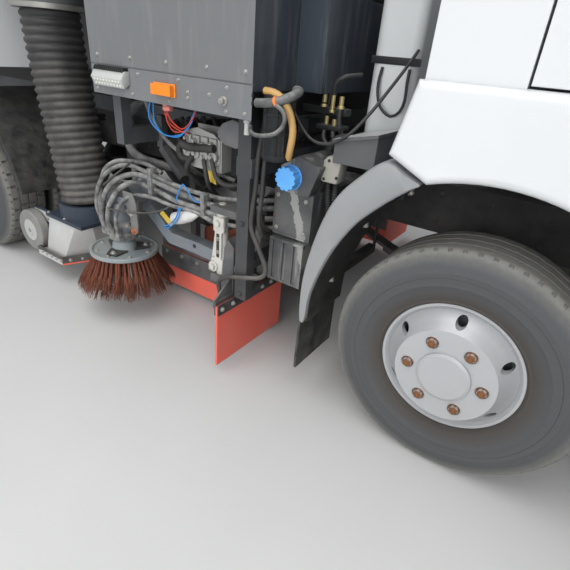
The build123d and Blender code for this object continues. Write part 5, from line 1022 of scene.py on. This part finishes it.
# Hydraulic hoses and wires: thin black rubber hoses down the post, thick dusty ones under the housing
# and more of them behind, a bundle of cables in a ribbed sleeve, and loose blue and red wires that end
# in a pink plug. Each is cut to length and screwed or plugged in at its ends.
blue_wire = weathered("blue_wire", (0.030, 0.230, 0.620), 0.38, dust=0.1, low=0.8, grain=0.1)
red_wire = weathered("red_wire", (0.62, 0.065, 0.040), 0.4, dust=0.1, low=0.8, grain=0.1)
pink_plug = weathered("pink_plug", (0.72, 0.25, 0.22), 0.45, dust=0.15, low=0.8)
for side, sign in both_sides:
    post_hoses = [(0.0095, [(0.880, -1.050, 1.085), (0.872, -1.066, 0.966), (0.872, -1.074, 0.860),
                            (0.868, -1.084, 0.758), (0.873, -1.088, 0.691), (0.917, -1.088, 0.614),
                            (0.950, -1.086, 0.545), (0.931, -1.090, 0.503), (0.860, -1.112, 0.485),
                            (0.775, -1.120, 0.461), (0.735, -1.122, 0.423), (0.742, -1.120, 0.371)]),
                  (0.0085, [(0.886, -1.010, 1.085), (0.880, -1.030, 0.960), (0.884, -1.040, 0.854),
                            (0.880, -1.050, 0.761), (0.884, -1.035, 0.700), (0.880, -0.980, 0.660)]),
                  (0.0085, [(0.894, -1.030, 1.085), (0.892, -1.052, 0.950), (0.892, -1.060, 0.830),
                            (0.886, -1.064, 0.730), (0.890, -1.040, 0.660), (0.880, -0.960, 0.620)])]
    hoses("post_hoses_" + side, post_hoses, "chassis", cable_black, sign)
    down = [(0.019, [(0.150, -0.960, 1.085), (0.090, -0.975, 1.040), (0.040, -0.990, 0.975),
                     (0.040, -1.000, 0.900), (0.075, -0.980, 0.820), (0.150, -0.880, 0.770),
                     (0.260, -0.800, 0.740)]),
            (0.010, [(0.190, -1.000, 1.085), (0.200, -0.980, 1.016), (0.275, -0.950, 0.905),
                     (0.400, -0.880, 0.820), (0.560, -0.820, 0.770)])]
    hoses("down_hoses_" + side, down, "chassis", hose_grey, sign)
    blue = [(0.0035, [(0.268, -1.040, 1.090), (0.258, -1.040, 1.016), (0.294, -1.020, 0.965),
                      (0.364, -1.000, 0.950), (0.415, -0.995, 0.973), (0.445, -0.970, 1.040),
                      (0.450, -0.950, 1.090)]),
            (0.0030, [(0.275, -1.030, 1.090), (0.280, -1.030, 1.000), (0.330, -1.020, 0.955),
                      (0.400, -1.000, 0.965), (0.450, -0.990, 1.010), (0.470, -0.960, 1.090)])]
    hoses("blue_wires_" + side, blue, "chassis", blue_wire, sign, sides=8)
    red = [(0.0030, [(0.350, -1.030, 1.062), (0.336, -1.020, 1.040), (0.348, -1.010, 1.006),
                     (0.396, -1.000, 0.982), (0.440, -0.990, 0.974)]),
           (0.0030, [(0.355, -1.030, 1.060), (0.365, -1.015, 1.020), (0.410, -1.000, 0.990),
                     (0.450, -0.990, 1.020), (0.471, -0.980, 1.060), (0.470, -0.970, 1.090)]),
           (0.0026, [(0.362, -1.030, 1.058), (0.345, -1.022, 1.020), (0.375, -1.010, 0.975),
                     (0.430, -0.990, 0.985)])]
    hoses("red_wires_" + side, red, "chassis", red_wire, sign, sides=8)
    plug = [(0.012, [(0.345, -1.030, 1.066), (0.385, -1.030, 1.070)]),
            (0.009, [(0.340, -1.030, 1.078), (0.372, -1.020, 1.084)])]
    hoses("pink_plug_" + side, plug, "chassis", pink_plug, sign, sides=8)
    loom = [(0.016, [(0.180, -0.930, 1.078), (0.400, -0.950, 1.072), (0.620, -0.960, 1.070),
                     (0.780, -0.950, 1.078)])]
    hoses("loom_" + side, loom, "chassis", guard_black, sign, pitch=0.010, depth=0.003,
          step=0.0025)
    inner_lines = []
    chance = Random(7)
    for number in range(11):
        y = -0.50 - 0.034 * number
        low = 0.74 + 0.10 * chance.random()
        radius = 0.009 + 0.005 * chance.random()
        falling = [(0.12 + 0.1 * chance.random(), y, 0.98), (0.22 + 0.1 * chance.random(),
                                                             y - 0.02, low + 0.05)]
        level = [(0.42 + 0.1 * chance.random(), y + 0.02, low), (0.60, y, low + 0.06 * chance.random())]
        rising = [(0.72 + 0.06 * chance.random(), y + 0.03, 0.98)]
        inner_lines.append((radius, falling + level + rising))
    hoses("frame_hoses_" + side, inner_lines, "chassis", cable_black, sign, sides=10)
    small_box = [(frame_box(0.625, 0.760, 0.470, 0.600), 1, -0.800, -0.872)]
    plates("small_box_" + side, small_box, "chassis", cover_grey, sign, edge=0.006)

# Suction hose: black rubber wound on a wire, so it has a rounded rib every 37 millimetres. It hangs
# from the duct's mouth, where a bright band clamps it, down to the nozzle.
hose_black = weathered("hose_rubber", (0.021, 0.022, 0.024), 0.46, dust=0.4, low=1.5, grain=0.5)
duct_grey = weathered("duct_grey", (0.10, 0.105, 0.11), 0.45, dust=0.35, low=1.6, wear=0.3)
finish_node(duct_grey, "inlet_ducts")
nozzle_middle_y = 0.95
rib_pitch = 0.037
hose_line = [(-0.4305, 0.4705), (-0.458, 0.700), (-0.487, 0.900), (-0.512, 1.080), (-0.528, 1.250),
             (-0.535, 1.3995)]
for side, sign in both_sides:
    route = [(x, sign * nozzle_middle_y, z) for x, z in hose_line]
    path = smooth_path(route, 0.0046)
    length = sum((after - before).length for before, after in zip(path, path[1:]))
    ribs = round(length / rib_pitch)

    def rib_radius(run, pitch=length / ribs):
        wave = 0.5 + 0.5 * cos(2 * pi * run / pitch)
        return 0.1395 - 0.0105 * wave ** 1.6
    rubber = bmesh.new()
    add_tube(rubber, path, rib_radius, 56)
    bmesh.ops.recalc_face_normals(rubber, faces=rubber.faces)
    foot, top = route[0], route[-1]
    hose = finished_piece("ribbed_hose_" + side, rubber, ("chassis", "nozzle_" + side, top, foot), hose_black,
                          sharp=80)
    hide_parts("suction_hose_" + side)
    band = bmesh.new()
    for low, high, radius in ((1.402, 1.424, 0.1665), (1.406, 1.420, 0.168)):
        middle = Matrix.Translation((top[0], top[1], (low + high) / 2))
        bmesh.ops.create_cone(band, cap_ends=False, segments=64, radius1=radius, radius2=radius,
                              depth=high - low, matrix=middle)
    finished_piece("duct_band_" + side, band, "chassis", zinc)

# Hopper and its gear: welded steel plate in white paint, with a ribbed door at the back. The tipping
# cylinder's rod is ground and chromed bright.
white_paint = weathered("white_paint", (0.59, 0.605, 0.615), 0.26, dust=0.26, low=1.3, coat=0.6, tint=0.02,
                        grain=0.05, wear=0.08, dust_colour=(0.45, 0.42, 0.37))
finish_node(white_paint, "hopper_shell", "hopper_door")
chrome = weathered("chrome", (0.66, 0.66, 0.67), 0.14, metallic=1.0, dust=0.2, low=1.2, grain=0.05)
finish_node(chrome, "ram_rod")

# Nozzle: a cast light alloy shell with a navy collar and tray on top and a bolted black rubber skirt
# around its foot, with a strip of red rubber under it. Two grey wheels run behind it.
nozzle_cast = weathered("nozzle_cast", (0.56, 0.565, 0.565), 0.45, metallic=0.25, dust=0.45, low=0.8,
                        grain=0.9, grain_scale=260, wear=0.3, tint=0.1)
tree, cast_skin, place = opened(nozzle_cast)
spot = axes_of(tree, place["Object"])
collar_z = 0.3715
nozzle_inner_y = 0.62
above = sum_node(tree, "GREATER_THAN", spot["Z"], collar_z)
outboard = sum_node(tree, "GREATER_THAN", sum_node(tree, "ABSOLUTE", spot["Y"], 0.0), nozzle_inner_y)
navy_here = sum_node(tree, "MULTIPLY", above, outboard)
repaint(nozzle_cast, mix_of(tree, navy_here, cast_skin, (0.040, 0.052, 0.072)))
finish_node(nozzle_cast, "nozzle_left", "nozzle_right")
red_rubber = weathered("red_rubber", (0.78, 0.125, 0.085), 0.5, dust=0.3, low=0.4, grain=0.4, tint=0.07,
                       dust_colour=(0.45, 0.24, 0.19))
wheel_grey = weathered("grey_wheel_rubber", (0.17, 0.175, 0.175), 0.6, dust=0.6, low=0.6, grain=0.6)
finish_node(wheel_grey, "nozzle_wheels_left", "nozzle_wheels_right")
for side, sign in both_sides:
    nozzle = "nozzle_" + side
    outline = [(-0.664, -0.642), (-0.326, -0.642), (-0.326, -0.972), (-0.417, -1.1698), (-0.664, -1.1698)]
    inside = [(-0.655, -0.650), (-0.334, -0.650), (-0.334, -0.968), (-0.422, -1.160), (-0.655, -1.160)]
    for label, low, high, finish in (("skirt", 0.1400, 0.180, cable_black),
                                     ("red_strip", 0.1305, 0.1398, red_rubber)):
        skirt = bmesh.new()
        for start, end, inner_start, inner_end in zip(outline, outline[1:] + outline[:1], inside,
                                                      inside[1:] + inside[:1]):
            corners = [start, end, inner_end, inner_start]
            add_plate(skirt, [(x, -sign * y) for x, y in corners], 2, low, high)
        bmesh.ops.recalc_face_normals(skirt, faces=skirt.faces)
        finished_piece("nozzle_" + label + "_" + side, skirt, nozzle, finish)
    rim = [((-0.664 + 0.0475 * number, sign * 1.1690, 0.156), (0, sign, 0), 0.007) for number in range(1, 6)]
    rim += [((-0.417 + 0.091 * share, sign * (1.1695 - 0.198 * share), 0.156), (0.91, sign * 0.42, 0), 0.007)
            for share in (0.2, 0.5, 0.8)]
    rim += [((-0.3265, sign * (0.70 + 0.085 * number), 0.156), (1, 0, 0), 0.007) for number in range(4)]
    bolt_heads("skirt_bolts_" + side, rim, nozzle, zinc)
    square = [(step, across) for step in (-1, 0, 1) for across in (-1, 0, 1)
              if (step, across) not in ((0, 0), (1, 1))]
    collar_bolts = [((-0.43 + 0.158 * step, sign * (nozzle_middle_y + 0.158 * across), 0.3915),
                     (0, 0, 1), 0.007) for step, across in square]
    bolt_heads("collar_bolts_" + side, collar_bolts, nozzle, zinc)
    side_bolts = [((x, sign * 1.0895, z), (0, sign, 0), 0.008) for x, z in ((-0.585, 0.350), (-0.640, 0.335))]
    bolt_heads("plate_bolts_" + side, side_bolts, nozzle, zinc)
    hubs = bmesh.new()
    for radius, near, far in ((0.066, 1.151, 1.1545), (0.030, 1.153, 1.1575)):
        add_round(hubs, (-0.747, 0.250), 1, sign * near, sign * far, radius, radius * 0.96, sides=36)
    finished_piece("wheel_hub_" + side, hubs, "nozzle_wheels_" + side, lamp_white)

# Brush arm: a blue grey square tube, cranked down from the motor's bracket to the swing casting, which
# is bare cast metal with a slot. Springs, hoses and wires run along the tube and over its head.
casting = weathered("swing_casting", (0.56, 0.55, 0.51), 0.5, metallic=0.1, dust=0.3, low=0.9, grain=0.8,
                    grain_scale=260, wear=0.5, tint=0.1, bare=(0.18, 0.16, 0.14))
finish_node(casting, "brush_pivot_left", "brush_pivot_right")
arm_blue = weathered("arm_paint", (0.135, 0.160, 0.190), 0.34, dust=0.4, low=1.0, wear=0.5, coat=0.15)
finish_node(arm_blue, "brush_arm_left", "brush_arm_right")
copper = weathered("copper_nut", (0.48, 0.17, 0.09), 0.4, metallic=0.6, dust=0.2, low=0.8, grain=0.6)
spring_black = weathered("spring_black", (0.030, 0.031, 0.034), 0.4, dust=0.5, low=1.0, coat=0.1)
damper_white = weathered("damper_white", (0.62, 0.62, 0.60), 0.5, dust=0.3, low=1.0, tint=0.1)
brush_x = 0.015
brush_y = 1.055
for side, sign in both_sides:
    pivot = "brush_pivot_" + side
    arm = "brush_arm_" + side
    eyes = bmesh.new()
    for x, z, radius, near, far in ((0.645, 0.640, 0.030, 1.011, 1.030), (0.645, 0.640, 0.014, 1.029, 1.040),
                                    (0.620, 0.430, 0.026, 1.028, 1.036), (0.620, 0.430, 0.014, 1.035, 1.046)):
        add_round(eyes, (x, z), 1, sign * near, sign * far, radius, radius * 0.97, sides=28)
    finished_piece("swing_eyes_" + side, eyes, pivot, casting)
    cheek = [([(0.600, 0.405), (0.668, 0.405), (0.672, 0.470), (0.662, 0.470), (0.664, 0.600),
               (0.676, 0.600), (0.676, 0.668), (0.616, 0.668), (0.616, 0.600), (0.624, 0.600),
               (0.622, 0.470), (0.604, 0.470)], 1, -1.012, -1.029)]
    plates("swing_cheek_" + side, cheek, pivot, casting, sign, edge=0.003)
    # A thin black plate stands for the casting's slot round its bolts: painted shade for the slot's dark
    # inside.
    slot_faces = [(frame_box(0.635, 0.652, 0.480, 0.592), 1, -1.0285, -1.0297)]
    plates("swing_slot_shade_" + side, slot_faces, pivot, guard_black, sign, edge=0)
    bolt_heads("swing_bolts_" + side, [((0.588, sign * 1.0115, 0.404), (0, sign, 0), 0.011),
                                       ((0.6435, sign * 1.0297, 0.568), (0, sign, 0), 0.0065),
                                       ((0.6435, sign * 1.0297, 0.505), (0, sign, 0), 0.0065)], pivot, zinc)
    marks = [([(0.195, 0.551), (0.213, 0.577), (0.290, 0.528), (0.270, 0.502)], 1, -0.9612, -0.9626)]
    plates("arm_plate_" + side, marks, arm, label_yellow, sign, edge=0)
    # Black discs stand for three holes in the arm: painted shade for their dark insides.
    holes = bmesh.new()
    for x, z, radius in ((0.430, 0.447, 0.011), (0.240, 0.500, 0.006), (0.560, 0.440, 0.006)):
        add_round(holes, (x, z), 1, sign * 0.9607, sign * 0.9623, radius)
    finished_piece("arm_hole_shade_" + side, holes, arm, guard_black)
    springs = [(0.019, [(0.240, -0.985, 0.725), (0.330, -0.985, 0.716), (0.440, -0.980, 0.700)]),
               (0.0085, [(0.440, -0.980, 0.700), (0.520, -0.978, 0.688), (0.570, -0.976, 0.680)])]
    hoses("arm_spring_" + side, springs, arm, spring_black, sign, sides=20)
    plates("spring_plate_" + side, [([(0.350, 0.706), (0.352, 0.718), (0.420, 0.709), (0.418, 0.697)],
                                     1, -0.9990, -1.0002)], arm, tray_grey, sign, edge=0)

    # a damper like a slim bottle: add_tube asks for one radius at each point in turn
    damper_line = [Vector((x, sign * 1.000, z)) for x, z in (
        (0.330, 0.570), (0.345, 0.576), (0.390, 0.592), (0.450, 0.615), (0.480, 0.626), (0.500, 0.634))]
    damper_radii = iter((0.016, 0.029, 0.031, 0.026, 0.014, 0.006))
    bottle = bmesh.new()
    add_tube(bottle, damper_line, lambda run, radii=damper_radii: next(radii), 24)
    bmesh.ops.recalc_face_normals(bottle, faces=bottle.faces)
    finished_piece("damper_" + side, bottle, arm, damper_white, sharp=75)

    # hoses from the frame to the casting, then from the casting over the arm to the motor
    meet = ((0.600, -0.970, 0.690), (0.600, -0.990, 0.655), (0.600, -0.955, 0.722), (0.600, -1.005, 0.625))
    first_leg = [(0.0125, [(0.870, -0.900, 0.735), (0.731, -0.945, 0.706), meet[0]]),
                 (0.0125, [(0.870, -0.915, 0.690), (0.732, -0.960, 0.672), meet[1]]),
                 (0.0105, [(0.870, -0.880, 0.765), (0.740, -0.930, 0.742), meet[2]]),
                 (0.0095, [(0.870, -0.930, 0.655), (0.735, -0.985, 0.640), meet[3]])]
    hoses("swing_hoses_" + side, first_leg, ("chassis", pivot, (0.870, sign * 0.90, 0.72),
                                             (0.640, sign * 0.96, 0.69)), hose_grey, sign)
    over_arm = [(0.0125, [meet[0], (0.527, -0.985, 0.693), (0.414, -0.995, 0.702), (0.272, -1.005, 0.722),
                          (0.172, -1.030, 0.748), (0.103, -1.075, 0.742), (0.045, -1.120, 0.694),
                          (-0.002, -1.140, 0.607), (-0.028, -1.136, 0.505), (-0.018, -1.118, 0.440)]),
                (0.0125, [meet[1], (0.486, -0.990, 0.660), (0.358, -1.000, 0.664), (0.224, -1.010, 0.690),
                          (0.145, -1.050, 0.712), (0.097, -1.100, 0.688), (0.052, -1.136, 0.609),
                          (0.023, -1.140, 0.518), (0.024, -1.120, 0.440)]),
                (0.0105, [meet[2], (0.465, -0.985, 0.728), (0.326, -0.995, 0.738), (0.205, -1.020, 0.764),
                          (0.106, -1.050, 0.786), (0.034, -1.090, 0.764), (-0.030, -1.124, 0.690),
                          (-0.072, -1.128, 0.571), (-0.060, -1.110, 0.450)]),
                (0.0095, [meet[3], (0.480, -1.000, 0.640), (0.330, -1.012, 0.640), (0.230, -1.040, 0.660),
                          (0.160, -1.090, 0.660), (0.110, -1.128, 0.610), (0.080, -1.136, 0.530),
                          (0.062, -1.116, 0.440)]),
                (0.0105, [(0.253, -0.985, 0.770), (0.163, -1.000, 0.796), (0.096, -1.030, 0.800),
                          (0.023, -1.062, 0.790), (-0.030, -1.090, 0.745), (-0.050, -1.110, 0.660),
                          (-0.048, -1.126, 0.560), (-0.040, -1.118, 0.450)])]
    hoses("arm_hoses_" + side, over_arm, (pivot, arm, (0.600, sign * 0.97, 0.69), (0.500, sign * 0.99, 0.69)),
          hose_grey, sign)
    thin = [(0.0045, [(0.020, -1.145, 0.584), (0.080, -1.150, 0.588), (0.148, -1.142, 0.592),
                      (0.253, -1.090, 0.600), (0.310, -1.040, 0.617), (0.340, -1.010, 0.645)]),
            (0.0050, [(0.120, -1.060, 0.800), (0.100, -1.090, 0.770), (0.060, -1.120, 0.730),
                      (0.020, -1.140, 0.690)])]
    hoses("arm_ties_" + side, thin, arm, cable_black, sign, sides=8)
    blue = [(0.0032, [(0.380, -1.022, 0.673), (0.410, -1.025, 0.734), (0.431, -1.022, 0.762),
                      (0.466, -1.022, 0.732), (0.491, -1.010, 0.696), (0.540, -0.998, 0.703)]),
            (0.0032, [(0.410, -1.030, 0.654), (0.397, -1.040, 0.604), (0.350, -1.040, 0.558),
                      (0.300, -1.030, 0.530), (0.285, -0.980, 0.515)]),
            (0.0032, [(0.418, -1.030, 0.654), (0.410, -1.042, 0.600), (0.362, -1.044, 0.552),
                      (0.310, -1.030, 0.520)])]
    hoses("arm_blue_wires_" + side, blue, arm, blue_wire, sign, sides=8)
    clamps = [(frame_box(0.520, 0.545, 0.640, 0.735), 1, -0.960, -1.012),
              (frame_box(0.205, 0.232, 0.660, 0.790), 1, -0.985, -1.035)]
    plates("hose_clamps_" + side, clamps, arm, hose_grey, sign, edge=0.004)
    head = bmesh.new()
    for low, high, radius, top, count in ((0.406, 0.440, 0.072, 0.072, 40), (0.470, 0.500, 0.062, 0.062, 40),
                                          (0.640, 0.665, 0.050, 0.044, 32), (0.664, 0.690, 0.026, 0.024, 20)):
        add_round(head, (brush_x, sign * brush_y), 2, low, high, radius, top, sides=count)
    for x, y in ((-0.018, 1.118), (0.024, 1.120), (-0.060, 1.110), (0.062, 1.116), (-0.040, 1.118)):
        add_round(head, (x, sign * y), 2, 0.4255, 0.4705, 0.016, 0.014, sides=6)
    finished_piece("motor_rings_" + side, head, arm, hose_grey)
    lever = [([(0.104, 0.676), (0.176, 0.676), (0.196, 0.630), (0.200, 0.520), (0.192, 0.482), (0.166, 0.466),
               (0.148, 0.482), (0.146, 0.560), (0.112, 0.630)], 1, -1.094, -1.104)]
    plates("motor_lever_" + side, lever, arm, duct_grey, sign, edge=0.004)
    lever_arm = [(0.013, [(0.060, -1.060, 0.560), (0.120, -1.085, 0.570), (0.170, -1.098, 0.560)]),
                 (0.011, [(0.060, -1.060, 0.480), (0.120, -1.085, 0.485), (0.172, -1.098, 0.490)])]
    hoses("motor_links_" + side, lever_arm, arm, hose_grey, sign)
    nut = [((0.172, sign * 1.104, 0.490), (0, sign, 0), 0.012)]
    bolt_heads("motor_nut_" + side, nut, arm, copper)

# Channel brush: a painted disc with bolts around its rim, three black wedge plates with nuts, and tufts
# of stiff red brown plastic bristles, splayed outward and worn to ragged ends.
disc_paint = weathered("disc_paint", (0.215, 0.255, 0.275), 0.4, dust=0.5, low=0.8, wear=0.4, grain=0.3)
bristle_red = weathered("bristles", (0.235, 0.066, 0.034), 0.55, dust=0.3, low=0.3, grain=0.8,
                        grain_scale=700, tint=0.3, dust_scale=26, dust_colour=(0.50, 0.27, 0.17))
tree, plain_red, place = opened(bristle_red)
strands = noise_of(tree, place["Object"], 95.0, 2.0, 0.5)
strands = sum_node(tree, "MULTIPLY_ADD", strands, 4.0, -1.7, clamp=True)
repaint(bristle_red, mix_of(tree, sum_node(tree, "MULTIPLY", strands, 0.6), plain_red, (0.095, 0.036, 0.024)))


def add_bristle(shape, start, bend, tip, thick):
    """One tapered three-sided bristle in three lengths."""
    rings = []
    for spot, wide in ((start, thick), (bend, thick), (start.lerp(tip, 0.66).lerp(bend, 0.3), thick * 0.9),
                       (tip, thick * 0.5)):
        rings.append([shape.verts.new(spot + Vector((cos(a), sin(a), 0)) * wide) for a in (0, 2.094, 4.189)])
    for first, second in zip(rings, rings[1:]):
        for part in range(3):
            after = (part + 1) % 3
            shape.faces.new((first[part], first[after], second[after], second[part]))
    shape.faces.new(rings[-1])


for side, sign in both_sides:
    brush = "channel_brush_" + side
    centre = Vector((brush_x, sign * brush_y, 0))
    disc = bmesh.new()
    outline = [(0.0, 0.323), (0.150, 0.323), (0.164, 0.325), (0.1715, 0.330), (0.172, 0.346), (0.168, 0.349),
               (0.158, 0.349), (0.153, 0.342), (0.120, 0.341), (0.063, 0.342), (0.058, 0.372), (0.050, 0.390),
               (0.015, 0.391), (0.0145, 0.360), (0.0, 0.360)]
    spots = [(radius, 0, z) for radius, z in outline]
    spin_outline(disc, spots, (0, 0, 0), (0, 0, 1), 72, closed=False)
    weld(disc)
    bmesh.ops.translate(disc, verts=disc.verts, vec=centre)
    piece = finished_piece("brush_disc_" + side, disc, brush, disc_paint)
    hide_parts(brush)
    rim = []
    for number in range(8):
        angle = 2 * pi * number / 8 + 0.3
        rim.append((centre + Vector((0.138 * cos(angle), 0.138 * sin(angle), 0.3415)), (0, 0, 1), 0.0085))
    bolt_heads("brush_bolts_" + side, rim, brush, zinc)
    wedges = bmesh.new()
    nuts = []
    for number in range(3):
        angle = 2 * pi * number / 3 + 0.9
        outline = [(centre.x + radius * cos(angle + turn), centre.y + radius * sin(angle + turn))
                   for radius, turn in ((0.125, -0.22), (0.125, 0.22), (0.070, 0.75), (0.070, -0.75))]
        add_plate(wedges, outline, 2, 0.3425, 0.352)
        nuts.append((centre + Vector((cos(angle) * 0.105, sin(angle) * 0.105, 0.352)), (0, 0, 1), 0.010))
    bmesh.ops.recalc_face_normals(wedges, faces=wedges.faces)
    finished_piece("brush_wedges_" + side, wedges, brush, chassis_black)
    bolt_heads("brush_nuts_" + side, nuts, brush, zinc)
    tuft = bmesh.new()
    chance = Random(11)
    for row, (root, tufts, per_tuft) in enumerate(((0.150, 46, 26), (0.125, 38, 20), (0.102, 30, 16))):
        for number in range(tufts):
            about = 2 * pi * (number + 0.5 * (row % 2)) / tufts + chance.uniform(-0.03, 0.03)
            lean = chance.uniform(-0.10, 0.10)
            reach = chance.uniform(-0.012, 0.010)
            for strand in range(per_tuft):
                base_turn = about + chance.uniform(-0.028, 0.028)
                base_out = root + chance.uniform(-0.008, 0.008)
                spread = chance.gauss(0, 0.05)
                far = min(0.2515, base_out * 1.50 + reach + chance.gauss(0, 0.011) + 0.010)
                tip_turn = base_turn + lean + spread
                tip_z = 0.1400 + abs(chance.gauss(0.008, 0.014)) + 0.008 * row + 0.3 * abs(reach)
                start = centre + Vector((cos(base_turn) * base_out, sin(base_turn) * base_out, 0.326))
                middle = base_out + (far - base_out) * 0.30
                bend = centre + Vector((cos(base_turn) * middle, sin(base_turn) * middle, 0.262))
                tip = centre + Vector((cos(tip_turn) * far, sin(tip_turn) * far, tip_z))
                add_bristle(tuft, start, bend, tip, 0.0013 + 0.0005 * chance.random())
    bmesh.ops.recalc_face_normals(tuft, faces=tuft.faces)
    finished_piece("brush_bristles_" + side, tuft, brush, bristle_red, sharp=80)

# Wide brush under the frame: a steel tube set with stiff plastic bristles. Its solid is a plain roller,
# and the streaks in the bristles' finish stand for its rows.
finish_node(bristle_red, "wide_brush")

# Red rubber flaps, each clamped under a steel strip with a row of bolts, black in front and dark grey
# along the side. A plate of the same grey steel stands on the corner.
finish_node(red_rubber, "rubber_flaps")
for side, sign in both_sides:
    strip = [([(-0.712, 0.296), (-1.180, 0.296), (-1.180, 0.348), (-0.712, 0.348)], 0, 0.7805, 0.7865)]
    plates("flap_clamp_" + side, strip, "chassis", chassis_black, sign)
    across = [((0.7865, sign * (0.735 + 0.070 * number), 0.324), (1, 0, 0), 0.0085) for number in range(7)]
    bolt_heads("flap_clamp_bolts_" + side, across, "chassis", zinc)
    ledge = [(frame_box(-0.028, 0.764, 0.150, 0.262), 1, -0.7705, -0.7765)]
    plates("side_clamp_" + side, ledge, "chassis", frame_grey, sign)
    along_flap = [((0.02 + 0.12 * number, sign * 0.7765, 0.236), (0, sign, 0), 0.0085) for number in range(7)]
    bolt_heads("side_clamp_bolts_" + side, along_flap, "chassis", zinc)
    gusset = [([(0.700, 0.350), (0.768, 0.350), (0.768, 0.570), (0.735, 0.600), (0.715, 0.560)],
               1, -1.062, -1.068)]
    plates("corner_gusset_" + side, gusset, "chassis", frame_grey, sign)

# Cab: pressed steel in white paint, with white wings over the wheels and dark cloth and plastic inside.
# Black rubber seals hold the glass. The door grips in their recesses and the wipers are black too.
finish_node(white_paint, "cab_shell", "cab_fenders", "cab_door_left", "cab_door_right")
interior_grey = weathered("interior_cloth", (0.05, 0.052, 0.056), 0.7, dust=0.05, grain=0.9, grain_scale=600)
finish_node(interior_grey, "cab_interior", "steering_wheel")
pane = bpy.data.materials.new("cab_pane")
pane.use_nodes = True
tree = pane.node_tree
shader = tree.nodes["Principled BSDF"]
shader.inputs["Base Color"].default_value = (0.80, 0.88, 0.86, 1)
shader.inputs["Transmission Weight"].default_value = 1.0
shader.inputs["IOR"].default_value = 1.45
smears = noise_of(tree, tree.nodes.new("ShaderNodeTexCoord").outputs["Object"], 7.0, 6.0, 0.7)
smears = sum_node(tree, "MULTIPLY_ADD", smears, 0.16, -0.02, clamp=True)
tree.links.new(smears, shader.inputs["Roughness"])
finish_node(pane, "cab_glass", "door_glass_left", "door_glass_right")
beacon_amber = weathered("beacon_amber", (0.85, 0.26, 0.02), 0.22, dust=0.12, low=1.0, coat=0.6, grain=0.1)
finish_node(beacon_amber, "roof_beacons")
for side, sign in both_sides:
    around = [(1.750, -1.049, 1.640), (1.750, -1.049, 2.240), (1.806, -1.049, 2.299), (2.350, -1.049, 2.309),
              (2.404, -1.049, 2.272), (2.598, -1.049, 1.706), (2.574, -1.049, 1.612), (1.796, -1.049, 1.601),
              (1.750, -1.049, 1.640)]
    hoses("window_seal_" + side, [(0.009, around)], "cab_door_" + side, guard_black, sign,
          sides=10)
    handle = [(frame_box(1.742, 1.888, 1.446, 1.516), 1, -1.0502, -1.0535)]
    plates("handle_recess_" + side, handle, "cab_door_" + side, guard_black, sign, edge=0.001)
    grip = [(frame_box(1.754, 1.876, 1.472, 1.494), 1, -1.0580, -1.0700),
            (frame_box(1.754, 1.770, 1.476, 1.490), 1, -1.0530, -1.0590),
            (frame_box(1.860, 1.876, 1.476, 1.490), 1, -1.0530, -1.0590)]
    plates("door_grip_" + side, grip, "cab_door_" + side, guard_black, sign, edge=0.003)


def on_screen(y, z, out):
    """A point at a distance before the raked windscreen."""
    foot_x, foot_z, rake = 2.767, 1.700, 0.35625
    return (foot_x - rake * (z - foot_z) + 0.942 * out, y, z + 0.336 * out)


edge_of_screen = [on_screen(y, z, -0.002) for y, z in (
    (0, 1.700), (0.880, 1.700), (0.930, 1.722), (0.806, 2.345), (0.780, 2.369), (0, 2.370), (-0.780, 2.369),
    (-0.806, 2.345), (-0.930, 1.722), (-0.880, 1.700), (0, 1.700))]
hoses("screen_seal", [(0.011, edge_of_screen)], "cab", guard_black, sides=10)
wipers = []
for middle_y in (-0.420, 0.420):
    wipers.append((0.007, [on_screen(middle_y + 0.10, 1.672, 0.010), on_screen(middle_y, 1.740, 0.030),
                           on_screen(middle_y - 0.15, 1.830, 0.022)]))
    wipers.append((0.006, [on_screen(middle_y - 0.42, 1.770, 0.008), on_screen(middle_y - 0.15, 1.828, 0.014),
                           on_screen(middle_y + 0.14, 1.885, 0.008)]))
hoses("wipers", wipers, "cab", cable_black, sides=8)
